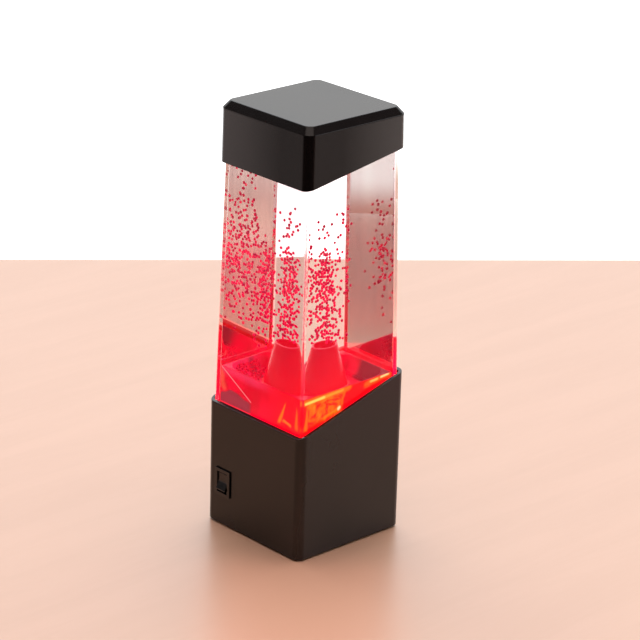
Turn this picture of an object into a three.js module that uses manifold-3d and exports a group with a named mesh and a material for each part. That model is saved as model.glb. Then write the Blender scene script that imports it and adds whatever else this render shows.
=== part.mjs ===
// Square-column bead lamp: a clear, water-filled tapered tank between a black
// base and a black cap whose facing edges are cut on a slant. A motor in the
// base turns a magnet disc; a magnet impeller in the tank follows it and blows
// small red beads up through a truncated cone. Millimetres, +Z up, origin at the
// middle of the footprint on the surface the lamp stands on. The front face is
// -Y; the rocker switch is on the -X face, near the back; the inlet is on +Y.

import * as THREE from 'three';
import { mergeVertices } from 'three/addons/utils/BufferGeometryUtils.js';
import Module from 'manifold-3d';

const wasm = await Module();
wasm.setup();

// ---------------------------------------------------------------- dimensions
const GAP = 0.3;                 // running gap between neighbouring solids

// base housing (heights below are from the housing's bottom edge)
const FOOT_PROUD = 0.8;          // feet lift the housing this far off the table
const BASE_HALF = 35.0;          // half of the 70 mm square footprint
const BASE_R = 4.4;              // vertical corner radius
const BASE_WALL = 2.1;
const BASE_IN = BASE_HALF - BASE_WALL;
const BASE_IN_R = 1.2;
const BASE_TOP_LOW = 65.0;       // rim height at the -X face
const BASE_TOP_HIGH = 85.0;      // rim height at the +X face
const SHELF_Z0 = 53.6;
const SHELF_Z1 = 55.6;
const SHELF_HOLE_R = 24.0;

// tank
const TANK_Z0 = 59.6;
const TANK_TOP = 210.0;
const TANK_WALL = 2.0;
const TANK_REF_Z = 65.0;
const TANK_REF_HALF = 32.5;
const TANK_TAPER = 2.3 / 126.0;  // half-width lost per mm of height
const TANK_R = 1.0;
const TANK_IN_R = 0.6;
const tankHalf = (z) => TANK_REF_HALF - (z - TANK_REF_Z) * TANK_TAPER;
const NECK_R = 7.0;
const NECK_BORE = 5.0;
const NECK_TOP = 212.5;

// tank floor
const FLOOR_Z0 = 57.3;
const FLOOR_Z1 = 59.3;
const FLOOR_STEP = 60.6;

// deck and nozzle inside the tank
const DECK_TOP = 84.0;           // its raised border
const DISH = 77.0;               // its sunk middle, where the nozzle stands
const DISH_HALF = 28.4;          // the sunk part at the border's height
const DISH_R = 13.0;
const DISH_FLOOR_HALF = 25.2;
const DISH_FLOOR_R = 10.0;
const DECK_T = 1.4;
const DECK_Z0 = 60.9;
const DECK_SKIRT = 1.3;
const DECK_HOLE_R = 12.6;
const PUMP_RING_OUT = 13.8;
const PUMP_RING_Z0 = 66.5;
const SLOT_L = 22.0;
const SLOT_W = 2.2;
const SLOT_AT = 21.6;
const CONE_TOP = 100.2;
const CONE_TOP_R = 7.7;
const CONE_BOT_R = 14.1;
const CONE_BORE_R = 6.2;

// water
const WATER_TOP = 204.5;

// cap
const CAP_TOP = 222.3;
const CAP_HALF_LOW = 32.7;       // at the lowest point of its slanted edge
const CAP_HALF_HIGH = 32.45;     // just under the chamfer
const CAP_R = 4.6;
const CAP_WALL = 2.15;
const CAP_IN_R = 1.2;
const CAP_EDGE_LOW = 191.0;      // slanted lower edge at the -X face
const CAP_EDGE_HIGH = 202.0;     // and at the +X face
const CAP_CHAMFER_IN = 2.8;
const CAP_CHAMFER_DOWN = 3.7;
const CAP_ROOF_T = 2.0;

// battery bay: three round cells side by side
const CELL_R = 7.15;
const CELL_L = 50.5;
const CELL_PITCH = 15.2;
const CELL_Z = 9.9;
const CELL_SHIFT = 2.15;         // a spring at one end moves each cell off centre
const COVER_T = 2.4;
const COVER_HALF = BASE_IN - GAP;
const BAY_X = 23.0;
const BAY_Y = 28.6;
const BAY_WALL = 1.2;
const BAY_ROOF = 17.4;
const DOOR_T = 1.6;
const TONGUE_X = 7.6;

// fasteners and feet
const FOOT_AT = 28.2;
const FOOT_R = 3.5;
const COVER_SCREW_X = 28.0;
const COVER_SCREW_Y = 19.0;
const POST_X = 28.2;

// switch, on the -X face
const SWITCH_Y = 22.2;
const SWITCH_Z = 23.2;
const ROCKER_PIVOT_X = -33.0;
const ROCKER_TILT = 12;          // degrees each side of level

// inlet, on the +Y face
const INLET_Z = 31.0;

// drive
const MOTOR_R = 12.2;
const MOTOR_Z0 = 31.5;
const MOTOR_Z1 = 43.8;
const BRACKET_Z0 = 44.1;
const BRACKET_Z1 = 45.6;
const BOARD_Z0 = 46.3;
const BOARD_Z1 = 47.9;
const LED_AT = 12.4;
const DISC_R = 11.0;
const DISC_Z0 = 50.6;
const DISC_Z1 = 54.4;
const MAGNET_AT = 7.0;
const MAGNET_R = 2.95;
const IMP_Z0 = 63.0;
const IMP_R = 10.5;

// ------------------------------------------------------------------- colours
const mat = (color, roughness, metalness, extra = {}) =>
  new THREE.MeshStandardMaterial({ color, roughness, metalness, ...extra });
const black = () => mat(0x14110f, 0.42, 0.0);
const blackSwitch = () => mat(0x161616, 0.3, 0.0);
const clear = () => mat(0xf2f4f6, 0.05, 0.0, { transparent: true, opacity: 0.25 });
const redClear = () => mat(0xd8123a, 0.12, 0.0, { transparent: true, opacity: 0.6 });
const rubber = () => mat(0x202020, 0.85, 0.0);
const steel = () => mat(0xb8bcc0, 0.35, 1.0);
const nickel = () => mat(0xcfd2d4, 0.25, 1.0);

// --------------------------------------------------------------- solid tools
function solid(geometry) {
  let g = geometry.clone();
  g.deleteAttribute('normal');
  g.deleteAttribute('uv');
  g = mergeVertices(g, 1e-4);
  const p = g.attributes.position.array;
  const idx = g.index.array;
  const tri = [];
  let volume = 0;
  for (let i = 0; i < idx.length; i += 3) {
    const [a, b, c] = [idx[i], idx[i + 1], idx[i + 2]];
    if (a === b || b === c || a === c) continue;
    tri.push(a, b, c);
    const [ax, ay, az, bx, by, bz, cx, cy, cz] = [a, b, c].flatMap((k) => [p[3 * k], p[3 * k + 1], p[3 * k + 2]]);
    volume += ax * (by * cz - bz * cy) + ay * (bz * cx - bx * cz) + az * (bx * cy - by * cx);
  }
  if (volume < 0) for (let i = 0; i < tri.length; i += 3) [tri[i + 1], tri[i + 2]] = [tri[i + 2], tri[i + 1]];
  return new wasm.Manifold(new wasm.Mesh({
    numProp: 3,
    vertProperties: new Float32Array(p),
    triVerts: new Uint32Array(tri),
  }));
}

const join = (first, ...rest) => rest.reduce((a, b) => a.add(b), first);
const cut = (first, ...rest) => rest.reduce((a, b) => a.subtract(b), first);

function geometryOf(manifold) {
  const m = manifold.getMesh();
  const n = m.vertProperties.length / m.numProp;
  const p = new Float32Array(n * 3);
  for (let i = 0; i < n; i++) for (let k = 0; k < 3; k++) p[3 * i + k] = m.vertProperties[i * m.numProp + k];
  const g = new THREE.BufferGeometry();
  g.setAttribute('position', new THREE.BufferAttribute(p, 3));
  g.setIndex(Array.from(m.triVerts));
  g.computeVertexNormals();
  return g;
}

// outline of a rounded rectangle, counter-clockwise
function outline(hx, hy, r, steps = 5) {
  const pts = [];
  const corners = [[hx - r, hy - r, 0], [-(hx - r), hy - r, 90], [-(hx - r), -(hy - r), 180], [hx - r, -(hy - r), 270]];
  for (const [cx, cy, a0] of corners) {
    for (let i = 0; i <= steps; i++) {
      const a = ((a0 + (90 * i) / steps) * Math.PI) / 180;
      pts.push(new THREE.Vector2(cx + r * Math.cos(a), cy + r * Math.sin(a)));
    }
  }
  return pts;
}

// a straight prism of an outline between two heights
function prism(pts, z0, z1) {
  const g = new THREE.ExtrudeGeometry(new THREE.Shape(pts), { depth: z1 - z0, bevelEnabled: false, steps: 1 });
  g.translate(0, 0, z0);
  return solid(g);
}

// a skin through outlines with the same number of points, closed at both ends
function loft(rings) {
  const n = rings[0].pts.length;
  const v = [];
  const t = [];
  for (const { pts, z } of rings) for (const p of pts) v.push(p.x, p.y, z);
  for (let k = 0; k < rings.length - 1; k++) {
    for (let i = 0; i < n; i++) {
      const j = (i + 1) % n;
      const [a, b, c, d] = [k * n + i, k * n + j, (k + 1) * n + j, (k + 1) * n + i];
      t.push(a, b, c, a, c, d);
    }
  }
  for (const [a, b, c] of THREE.ShapeUtils.triangulateShape(rings[0].pts, [])) t.push(a, c, b);
  const last = (rings.length - 1) * n;
  for (const [a, b, c] of THREE.ShapeUtils.triangulateShape(rings[rings.length - 1].pts, [])) t.push(last + a, last + b, last + c);
  const g = new THREE.BufferGeometry();
  g.setAttribute('position', new THREE.BufferAttribute(new Float32Array(v), 3));
  g.setIndex(t);
  return solid(g);
}

const box = (x0, x1, y0, y1, z0, z1) => {
  const g = new THREE.BoxGeometry(x1 - x0, y1 - y0, z1 - z0);
  g.translate((x0 + x1) / 2, (y0 + y1) / 2, (z0 + z1) / 2);
  return solid(g);
};

// upright cylinder
const rod = (r, z0, z1, x = 0, y = 0, sides = 20) => {
  const g = new THREE.CylinderGeometry(r, r, z1 - z0, sides);
  g.rotateX(Math.PI / 2);
  g.translate(x, y, (z0 + z1) / 2);
  return solid(g);
};

// cylinder lying along Y
const rodY = (r, y0, y1, x, z, sides = 20) => {
  const g = new THREE.CylinderGeometry(r, r, y1 - y0, sides);
  g.translate(x, (y0 + y1) / 2, z);
  return solid(g);
};

// solid of revolution about Z; profile is [radius, height] pairs. It starts and
// ends on the axis, or closes on itself.
function turned(profile, sides = 24) {
  const pts = profile.map(([r, z]) => new THREE.Vector2(r, z));
  const g = new THREE.LatheGeometry(pts, sides);
  g.rotateX(Math.PI / 2);
  return solid(g);
}
const ring = (profile, sides) => turned([...profile, profile[0]], sides);

// half-space above (or below) a plane that rises along +X from zLow at x = -h to zHigh at x = +h
function wedge(h, zLow, zHigh, above) {
  const slope = (zHigh - zLow) / (2 * h);
  const X = 60;
  const zAt = (x) => zLow + slope * (x + h);
  const far = above ? 400 : -400;
  const s = new THREE.Shape([
    new THREE.Vector2(-X, zAt(-X)),
    new THREE.Vector2(X, zAt(X)),
    new THREE.Vector2(X, far),
    new THREE.Vector2(-X, far),
  ]);
  const g = new THREE.ExtrudeGeometry(s, { depth: 200, bevelEnabled: false, steps: 1 });
  g.translate(0, 0, -100);
  g.rotateX(Math.PI / 2);
  return solid(g);
}

// insulated lead along a smooth route
function lead(points, r = 0.6, steps = 14, sides = 6) {
  const curve = new THREE.CatmullRomCurve3(points.map((p) => new THREE.Vector3(...p)), false, 'centripetal');
  const section = new THREE.Shape(
    Array.from({ length: sides }, (_, i) => {
      const a = (2 * Math.PI * i) / sides;
      return new THREE.Vector2(r * Math.cos(a), r * Math.sin(a));
    }),
  );
  return solid(new THREE.ExtrudeGeometry(section, { extrudePath: curve, steps, bevelEnabled: false }));
}

function add(group, name, shape, material, position = null, rotation = null) {
  const mesh = new THREE.Mesh(geometryOf(shape), material);
  mesh.name = name;
  if (position) mesh.position.set(...position);
  if (rotation) mesh.rotation.set(...rotation);
  group.add(mesh);
  return mesh;
}

// ---------------------------------------------------------------- the groups
const lamp = new THREE.Group();
lamp.name = 'bead_lamp';
const base = new THREE.Group();
const rotor = new THREE.Group();
const tank = new THREE.Group();
const impellerGroup = new THREE.Group();
const capGroup = new THREE.Group();
lamp.add(base, rotor, tank, impellerGroup, capGroup);
lamp.position.z = FOOT_PROUD;

// --------------------------------------------------------------- base housing
{
  const outer = cut(prism(outline(BASE_HALF, BASE_HALF, BASE_R, 5), 0, 90), wedge(BASE_HALF, BASE_TOP_LOW, BASE_TOP_HIGH, true));
  const inner = join(
    prism(outline(BASE_IN, BASE_IN, BASE_IN_R, 3), -5, SHELF_Z0),
    prism(outline(BASE_IN, BASE_IN, BASE_IN_R, 3), SHELF_Z1, 95),
    rod(SHELF_HOLE_R, SHELF_Z0 - 1, SHELF_Z1 + 1, 0, 0, 28),
  );
  let housing = cut(outer, inner);
  // bosses for the bottom cover's screws, and posts for the motor bracket
  for (const sx of [-1, 1]) {
    for (const sy of [-1, 1]) {
      const boss = join(
        rod(3.2, COVER_T + GAP, 14.5, sx * COVER_SCREW_X, sy * COVER_SCREW_Y, 10),
        box(Math.min(sx * COVER_SCREW_X, sx * (BASE_IN + 0.5)), Math.max(sx * COVER_SCREW_X, sx * (BASE_IN + 0.5)),
          sy * COVER_SCREW_Y - 1.2, sy * COVER_SCREW_Y + 1.2, COVER_T + GAP, 14.5),
      );
      housing = join(housing, boss);
    }
    housing = join(
      housing,
      rod(3.0, BRACKET_Z1 + GAP, SHELF_Z0 + 0.5, sx * POST_X, 0, 10),
      box(Math.min(sx * POST_X, sx * (BASE_IN + 0.5)), Math.max(sx * POST_X, sx * (BASE_IN + 0.5)), -1.2, 1.2, BRACKET_Z1 + GAP, SHELF_Z0 + 0.5),
    );
  }
  for (const sx of [-1, 1]) {
    for (const sy of [-1, 1]) housing = cut(housing, rod(1.6, 0, 12.5, sx * COVER_SCREW_X, sy * COVER_SCREW_Y, 8));
    housing = cut(housing, rod(1.4, BRACKET_Z1 - 1, 52.0, sx * POST_X, 0, 8));
  }
  // openings for the switch and the inlet
  housing = cut(
    housing,
    box(-BASE_HALF - 2, -BASE_IN + 1.5, SWITCH_Y - 4.6, SWITCH_Y + 4.6, SWITCH_Z - 6.4, SWITCH_Z + 6.4),
    rodY(4.3, BASE_IN - 1.5, BASE_HALF + 2, 0, INLET_Z, 20),
  );
  add(base, 'base_housing', housing, black());
}

// --------------------------------------------------------------- bottom cover
{
  let cover = join(
    prism(outline(COVER_HALF, COVER_HALF, 2.0, 2), 0, COVER_T),
    box(-BAY_X - BAY_WALL, BAY_X + BAY_WALL, -BAY_Y - BAY_WALL, BAY_Y + BAY_WALL, 1, BAY_ROOF + BAY_WALL),
  );
  cover = cut(cover, box(-BAY_X, BAY_X, -BAY_Y, BAY_Y, -1, BAY_ROOF));
  for (const sx of [-1, 1]) {
    for (const sy of [-1, 1]) {
      cover = cut(
        cover,
        rod(1.6, -1, COVER_T + 1, sx * COVER_SCREW_X, sy * COVER_SCREW_Y, 8),
        rod(2.9, -1, 1.5, sx * COVER_SCREW_X, sy * COVER_SCREW_Y, 12),
        rod(FOOT_R + GAP + 0.1, -1, 1.0, sx * FOOT_AT, sy * FOOT_AT, 14),
      );
    }
    // slots in the end wall for the door's tongues
    cover = cut(cover, box(sx * TONGUE_X - 2.0, sx * TONGUE_X + 2.0, -BAY_Y - BAY_WALL - 1, -BAY_Y + 0.5, COVER_T, 5.4));
  }
  // slots in the roof for the two outer contacts' tabs
  cover = cut(
    cover,
    box(-CELL_PITCH - 1.9, -CELL_PITCH + 1.9, 27.3, 28.55, BAY_ROOF - 1, BAY_ROOF + BAY_WALL + 1),
    box(CELL_PITCH - 1.9, CELL_PITCH + 1.9, -28.55, -27.3, BAY_ROOF - 1, BAY_ROOF + BAY_WALL + 1),
  );
  add(base, 'bottom_cover', cover, black());
}

// --------------------------------------------------------------- battery door
{
  let door = box(-BAY_X + 0.4, BAY_X - 0.4, -BAY_Y + 0.5, BAY_Y - 0.4, 0, DOOR_T);
  for (const sx of [-1, 1]) {
    door = join(
      door,
      box(sx * TONGUE_X - 1.6, sx * TONGUE_X + 1.6, -28.0, -26.4, DOOR_T - 0.5, 3.5),
      box(sx * TONGUE_X - 1.6, sx * TONGUE_X + 1.6, -30.4, -26.4, COVER_T + GAP, 3.5),
    );
  }
  // latch finger and finger notch
  door = join(door, box(-6, 6, 27.2, 28.2, DOOR_T - 0.5, 4.6));
  door = cut(door, rodY(7.0, 20.0, 26.5, 0, -6.1, 24));
  add(base, 'battery_door', door, black());
}

// ------------------------------------------------------------ feet and screws
{
  const foot = turned([[0, -0.8], [FOOT_R - 0.3, -0.8], [FOOT_R, -0.5], [FOOT_R, 0.7], [0, 0.7]], 18);
  let screw = turned([[0, 0.3], [2.0, 0.3], [2.4, 0.7], [2.4, 1.2], [1.2, 1.2], [1.2, 10.6], [0, 11.6]], 8);
  screw = cut(screw, box(-1.4, 1.4, -0.25, 0.25, 0, 0.9), box(-0.25, 0.25, -1.4, 1.4, 0, 0.9));
  let i = 1;
  for (const [sx, sy] of [[-1, -1], [1, -1], [1, 1], [-1, 1]]) {
    add(base, `foot_${i}`, foot, rubber(), [sx * FOOT_AT, sy * FOOT_AT, 0]);
    add(base, `cover_screw_${i}`, screw, steel(), [sx * COVER_SCREW_X, sy * COVER_SCREW_Y, 0]);
    i += 1;
  }
}

// -------------------------------------------------------- cells and contacts
{
  // one cell along +Y with its raised positive end at +Y
  const half = CELL_L / 2;
  const cell = turned([
    [0, -half], [CELL_R - 0.6, -half], [CELL_R, -half + 0.6], [CELL_R, half - 1.9], [CELL_R - 0.6, half - 1.3],
    [2.7, half - 1.3], [2.7, half], [0, half],
  ], 16);
  const lie = [-Math.PI / 2, 0, 0];
  add(base, 'battery_cell_1', cell, mat(0x2e3a44, 0.35, 0.3), [-CELL_PITCH, CELL_SHIFT, CELL_Z], lie);
  add(base, 'battery_cell_2', cell, mat(0x2e3a44, 0.35, 0.3), [0, -CELL_SHIFT, CELL_Z], [Math.PI / 2, 0, 0]);
  add(base, 'battery_cell_3', cell, mat(0x2e3a44, 0.35, 0.3), [CELL_PITCH, CELL_SHIFT, CELL_Z], lie);

  // plates stand at the bay's ends; a tapered coil spring presses each negative end
  const P0 = 27.7;
  const P1 = 28.1;
  const plate = (x0, x1, side) => (side > 0 ? box(x0, x1, P0, P1, 5.3, 15.3) : box(x0, x1, -P1, -P0, 5.3, 15.3));
  const tab = (x, side) => (side > 0 ? box(x - 1.5, x + 1.5, P0, P1, 15, 21.5) : box(x - 1.5, x + 1.5, -P1, -P0, 15, 21.5));
  const spring = (x, side) => {
    const turns = 2.6;
    const pts = [];
    const n = 24;
    for (let i = 0; i <= n; i++) {
      const u = i / n;
      const a = 2 * Math.PI * turns * u;
      const r = 4.0 - 1.5 * u;
      pts.push(new THREE.Vector3(x + r * Math.cos(a), side * (P0 - 0.1 - 3.85 * u), CELL_Z + r * Math.sin(a)));
    }
    const curve = new THREE.CatmullRomCurve3(pts, false, 'centripetal');
    const section = new THREE.Shape(Array.from({ length: 5 }, (_, k) => new THREE.Vector2(0.3 * Math.cos((2 * Math.PI * k) / 5), 0.3 * Math.sin((2 * Math.PI * k) / 5))));
    return solid(new THREE.ExtrudeGeometry(section, { extrudePath: curve, steps: 22, bevelEnabled: false }));
  };
  add(base, 'contact_positive', join(plate(-CELL_PITCH - 5.5, -CELL_PITCH + 5.5, 1), tab(-CELL_PITCH, 1)), nickel());
  add(base, 'contact_negative', join(plate(CELL_PITCH - 5.5, CELL_PITCH + 5.5, -1), tab(CELL_PITCH, -1), spring(CELL_PITCH, -1)), nickel());
  add(base, 'contact_bridge_1', join(plate(-CELL_PITCH - 5.5, 5.5, -1), spring(-CELL_PITCH, -1)), nickel());
  add(base, 'contact_bridge_2', join(plate(-5.5, CELL_PITCH + 5.5, 1), spring(0, 1)), nickel());
}

// --------------------------------------------------------------------- switch
{
  const back = -24.8;
  const face = -BASE_HALF - GAP;
  let body = join(
    box(face - 0.6, face, SWITCH_Y - 5.6, SWITCH_Y + 5.6, SWITCH_Z - 7.3, SWITCH_Z + 7.3),
    box(face - 0.1, back, SWITCH_Y - 4.3, SWITCH_Y + 4.3, SWITCH_Z - 6.1, SWITCH_Z + 6.1),
  );
  body = cut(
    body,
    box(face - 3, -29.5, SWITCH_Y - 3.7, SWITCH_Y + 3.7, SWITCH_Z - 5.5, SWITCH_Z + 5.5),
    rodY(1.2, SWITCH_Y - 6, SWITCH_Y + 6, ROCKER_PIVOT_X, SWITCH_Z, 12),
  );
  add(base, 'switch_body', body, blackSwitch());

  // the rocker, drawn level; its two faces meet in a shallow valley
  const s = new THREE.Shape([
    new THREE.Vector2(0.8, -3.9), new THREE.Vector2(0.8, 3.9), new THREE.Vector2(-0.8, 4.9),
    new THREE.Vector2(-2.95, 4.55), new THREE.Vector2(-3.15, 4.2), new THREE.Vector2(-2.65, 2.2), new THREE.Vector2(-2.35, 0.7),
    new THREE.Vector2(-2.3, 0), new THREE.Vector2(-2.35, -0.7), new THREE.Vector2(-2.65, -2.2), new THREE.Vector2(-3.15, -4.2),
    new THREE.Vector2(-2.95, -4.55), new THREE.Vector2(-0.8, -4.9),
  ]);
  const g = new THREE.ExtrudeGeometry(s, { depth: 6.6, bevelEnabled: false, steps: 1 });
  g.translate(0, 0, -3.3);
  g.rotateX(Math.PI / 2);
  const rocker = join(solid(g), rodY(0.8, -4.1, 4.1, 0, 0, 10));
  add(base, 'switch_rocker', rocker, blackSwitch(), [ROCKER_PIVOT_X, SWITCH_Y, SWITCH_Z], [0, (ROCKER_TILT * Math.PI) / 180, 0]);

  const terminal = box(0, 4.0, -1.6, 1.6, -0.25, 0.25);
  add(base, 'switch_terminal_1', terminal, nickel(), [back + GAP, SWITCH_Y, 20.9]);
  add(base, 'switch_terminal_2', terminal, nickel(), [back + GAP, SWITCH_Y, 26.3]);
}

// ---------------------------------------------------------------------- inlet
{
  const inlet = cut(
    join(box(-4.5, 4.5, 18.9, BASE_IN - GAP, INLET_Z - 5.2, INLET_Z + 5.2), rodY(3.95, BASE_IN - 1, BASE_HALF - 0.1, 0, INLET_Z, 20)),
    rodY(2.75, 21.7, BASE_HALF + 1, 0, INLET_Z, 18),
  );
  add(base, 'dc_inlet', inlet, blackSwitch());
  add(base, 'inlet_pin', join(rodY(1.0, 22.0, 33.0, 0, INLET_Z, 10), rodY(0.6, 32.9, 33.6, 0, INLET_Z, 8)), nickel());
}

// ------------------------------------------------- motor, bracket, LED board
{
  let motor = turned([
    [0, MOTOR_Z0 - 1.2], [3.5, MOTOR_Z0 - 1.2], [3.5, MOTOR_Z0], [MOTOR_R - 0.8, MOTOR_Z0], [MOTOR_R, MOTOR_Z0 + 0.8],
    [MOTOR_R, MOTOR_Z1 - 0.8], [MOTOR_R - 0.8, MOTOR_Z1], [3.0, MOTOR_Z1], [3.0, MOTOR_Z1 + 1.4], [0, MOTOR_Z1 + 1.4],
  ], 20);
  motor = join(motor, box(-1.2, 1.2, 7.2, 7.7, MOTOR_Z0 - 2.5, MOTOR_Z0 + 0.5), box(-1.2, 1.2, -7.7, -7.2, MOTOR_Z0 - 2.5, MOTOR_Z0 + 0.5));
  motor = cut(
    motor,
    rod(1.4, MOTOR_Z0 - 5, MOTOR_Z1 + 5, 0, 0, 10),
    rod(1.2, MOTOR_Z1 - 2.6, MOTOR_Z1 + 1, 0, 6, 8),
    rod(1.2, MOTOR_Z1 - 2.6, MOTOR_Z1 + 1, 0, -6, 8),
  );
  add(base, 'motor', motor, steel());

  let bracket = join(
    rod(14.0, BRACKET_Z0, BRACKET_Z1, 0, 0, 20),
    box(-31.2, 31.2, -4.5, 4.5, BRACKET_Z0, BRACKET_Z1),
    rod(2.5, BRACKET_Z1 - 0.5, BOARD_Z0 - GAP, 18, 0, 8),
    rod(2.5, BRACKET_Z1 - 0.5, BOARD_Z0 - GAP, -18, 0, 8),
  );
  bracket = cut(
    bracket,
    rod(3.6, BRACKET_Z0 - 1, BRACKET_Z1 + 1, 0, 0, 12),
    rod(1.2, BRACKET_Z0 - 1, BRACKET_Z1 + 1, 0, 6, 8),
    rod(1.2, BRACKET_Z0 - 1, BRACKET_Z1 + 1, 0, -6, 8),
    rod(1.4, BRACKET_Z0 - 1, BRACKET_Z1 + 1, POST_X, 0, 8),
    rod(1.4, BRACKET_Z0 - 1, BRACKET_Z1 + 1, -POST_X, 0, 8),
  );
  add(base, 'motor_bracket', bracket, mat(0xe6e4de, 0.5, 0));

  const bracketScrew = turned([[0, 42.7], [2.0, 42.7], [2.3, 43.1], [2.3, 43.8], [1.0, 43.8], [1.0, 50.4], [0, 51.2]], 8);
  add(base, 'bracket_screw_1', bracketScrew, steel(), [-POST_X, 0, 0]);
  add(base, 'bracket_screw_2', bracketScrew, steel(), [POST_X, 0, 0]);
  const motorScrew = turned([[0, 41.6], [0.8, 41.6], [0.8, 45.9], [1.7, 45.9], [1.7, 47.0], [0, 47.0]], 8);
  add(base, 'motor_screw_1', motorScrew, steel(), [0, -6, 0]);
  add(base, 'motor_screw_2', motorScrew, steel(), [0, 6, 0]);

  const board = cut(prism(outline(23, 23, 2, 2), BOARD_Z0, BOARD_Z1), rod(13.0, BOARD_Z0 - 1, BOARD_Z1 + 1, 0, 0, 20));
  add(base, 'led_board', board, mat(0x1f6b3a, 0.4, 0));
  const led = turned([[0, 0], [2.9, 0], [2.9, 1.0], [2.5, 1.0], [2.5, 5.4], [2.1, 6.8], [1.2, 7.6], [0, 7.8]], 10);
  let i = 1;
  for (const [sx, sy] of [[-1, -1], [1, -1], [1, 1], [-1, 1]]) {
    add(base, `led_${i}`, led, mat(0xff2a1a, 0.1, 0), [sx * LED_AT, sy * LED_AT, BOARD_Z1 + GAP]);
    i += 1;
  }
}

// ---------------------------------------------------------------------- leads
{
  const red = () => mat(0xc02020, 0.5, 0);
  const dark = () => mat(0x181818, 0.5, 0);
  add(base, 'battery_lead_positive', lead([[-15.2, 27.9, 22.1], [-15.0, 27.2, 24.4], [-15.5, 24.6, 26.2], [-17.5, 22.5, 26.6], [-20.0, 22.2, 26.4]], 0.6, 8), red());
  add(base, 'battery_lead_negative', lead([[15.2, -27.9, 22.1], [15.4, -26.6, 26], [17, -22, 33], [18.5, -19.2, 40], [18.5, -19, 45.9]], 0.6, 9), dark());
  add(base, 'switch_lead', lead([[-20.0, 22.2, 20.9], [-17.0, 21.5, 21.2], [-16.0, 18.0, 24.5], [-18.0, 15.0, 32], [-20.0, 12.2, 40], [-20.0, 12.0, 45.9]], 0.6, 12), red());
  add(base, 'inlet_lead_1', lead([[2.6, 18.5, 29.0], [4.8, 16.8, 30.5], [7.0, 17.0, 37.5], [7.0, 17.0, 45.9]], 0.6, 8), red());
  add(base, 'inlet_lead_2', lead([[-2.6, 18.5, 29.0], [-4.8, 16.8, 30.5], [-7.0, 17.0, 37.5], [-7.0, 17.0, 45.9]], 0.6, 8), dark());
  add(base, 'motor_lead_1', lead([[0, -7.9, 28.3], [0, -11.5, 26.8], [0, -15.8, 29.0], [0, -17.5, 37], [0, -17.5, 45.9]], 0.6, 10), red());
  add(base, 'motor_lead_2', lead([[0, 7.9, 28.3], [0, 11.5, 26.8], [0, 15.2, 29.0], [0, 16.6, 37], [0, 16.6, 45.9]], 0.6, 10), dark());
}

// ----------------------------------------------- rotor: shaft, disc, magnets
{
  add(rotor, 'motor_shaft', turned([[0, 29.6], [0.7, 29.6], [1.0, 29.9], [1.0, 52.7], [0.7, 53.0], [0, 53.0]], 10), steel());
  let disc = join(rod(3.0, 48.4, DISC_Z0 + 0.5, 0, 0, 12), rod(DISC_R, DISC_Z0, DISC_Z1, 0, 0, 24));
  disc = cut(
    disc,
    rod(1.4, 47, 53.3, 0, 0, 10),
    rod(MAGNET_R + GAP + 0.1, 52.0, DISC_Z1 + 1, MAGNET_AT, 0, 12),
    rod(MAGNET_R + GAP + 0.1, 52.0, DISC_Z1 + 1, -MAGNET_AT, 0, 12),
  );
  add(rotor, 'drive_disc', disc, mat(0xdedbd2, 0.45, 0));
  const magnet = rod(MAGNET_R, 0, 2.2, 0, 0, 12);
  add(rotor, 'drive_magnet_1', magnet, nickel(), [-MAGNET_AT, 0, 52.3]);
  add(rotor, 'drive_magnet_2', magnet, nickel(), [MAGNET_AT, 0, 52.3]);
}

// ----------------------------------------------------------------------- tank
const shell = (grow, z0, z1, r) =>
  loft([
    { pts: outline(tankHalf(z0) + grow, tankHalf(z0) + grow, r, 4), z: z0 },
    { pts: outline(tankHalf(z1) + grow, tankHalf(z1) + grow, r, 4), z: z1 },
  ]);
{
  let body = shell(0, TANK_Z0, TANK_TOP, TANK_R);
  body = join(body, rod(NECK_R, TANK_TOP - 0.5, NECK_TOP, 0, 0, 20));
  body = cut(body, shell(-TANK_WALL, TANK_Z0 - 1, TANK_TOP - TANK_WALL, TANK_IN_R), rod(NECK_BORE, TANK_TOP - 5, NECK_TOP + 1, 0, 0, 20));
  add(tank, 'tank_shell', body, clear());

  let floor = join(
    prism(outline(32.5, 32.5, 2.9, 3), FLOOR_Z0, FLOOR_Z1),
    prism(outline(30.2, 30.2, 1.0, 2), FLOOR_Z1 - 0.5, FLOOR_STEP),
    rod(3.5, FLOOR_STEP - 0.5, 62.4, 0, 0, 12),
  );
  floor = cut(floor, rod(1.4, 58.7, 70, 0, 0, 10));
  add(tank, 'tank_floor', floor, clear());
  add(tank, 'impeller_pin', turned([[0, 59.0], [1.0, 59.0], [1.0, 71.2], [0.7, 71.5], [0, 71.5]], 10), steel());

  const gasket = cut(prism(outline(32.2, 32.2, 2.0, 2), SHELF_Z1 + GAP, 57.0), prism(outline(26.0, 26.0, 2.5, 2), 50, 60));
  add(tank, 'tank_gasket', gasket, rubber());
}

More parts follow.
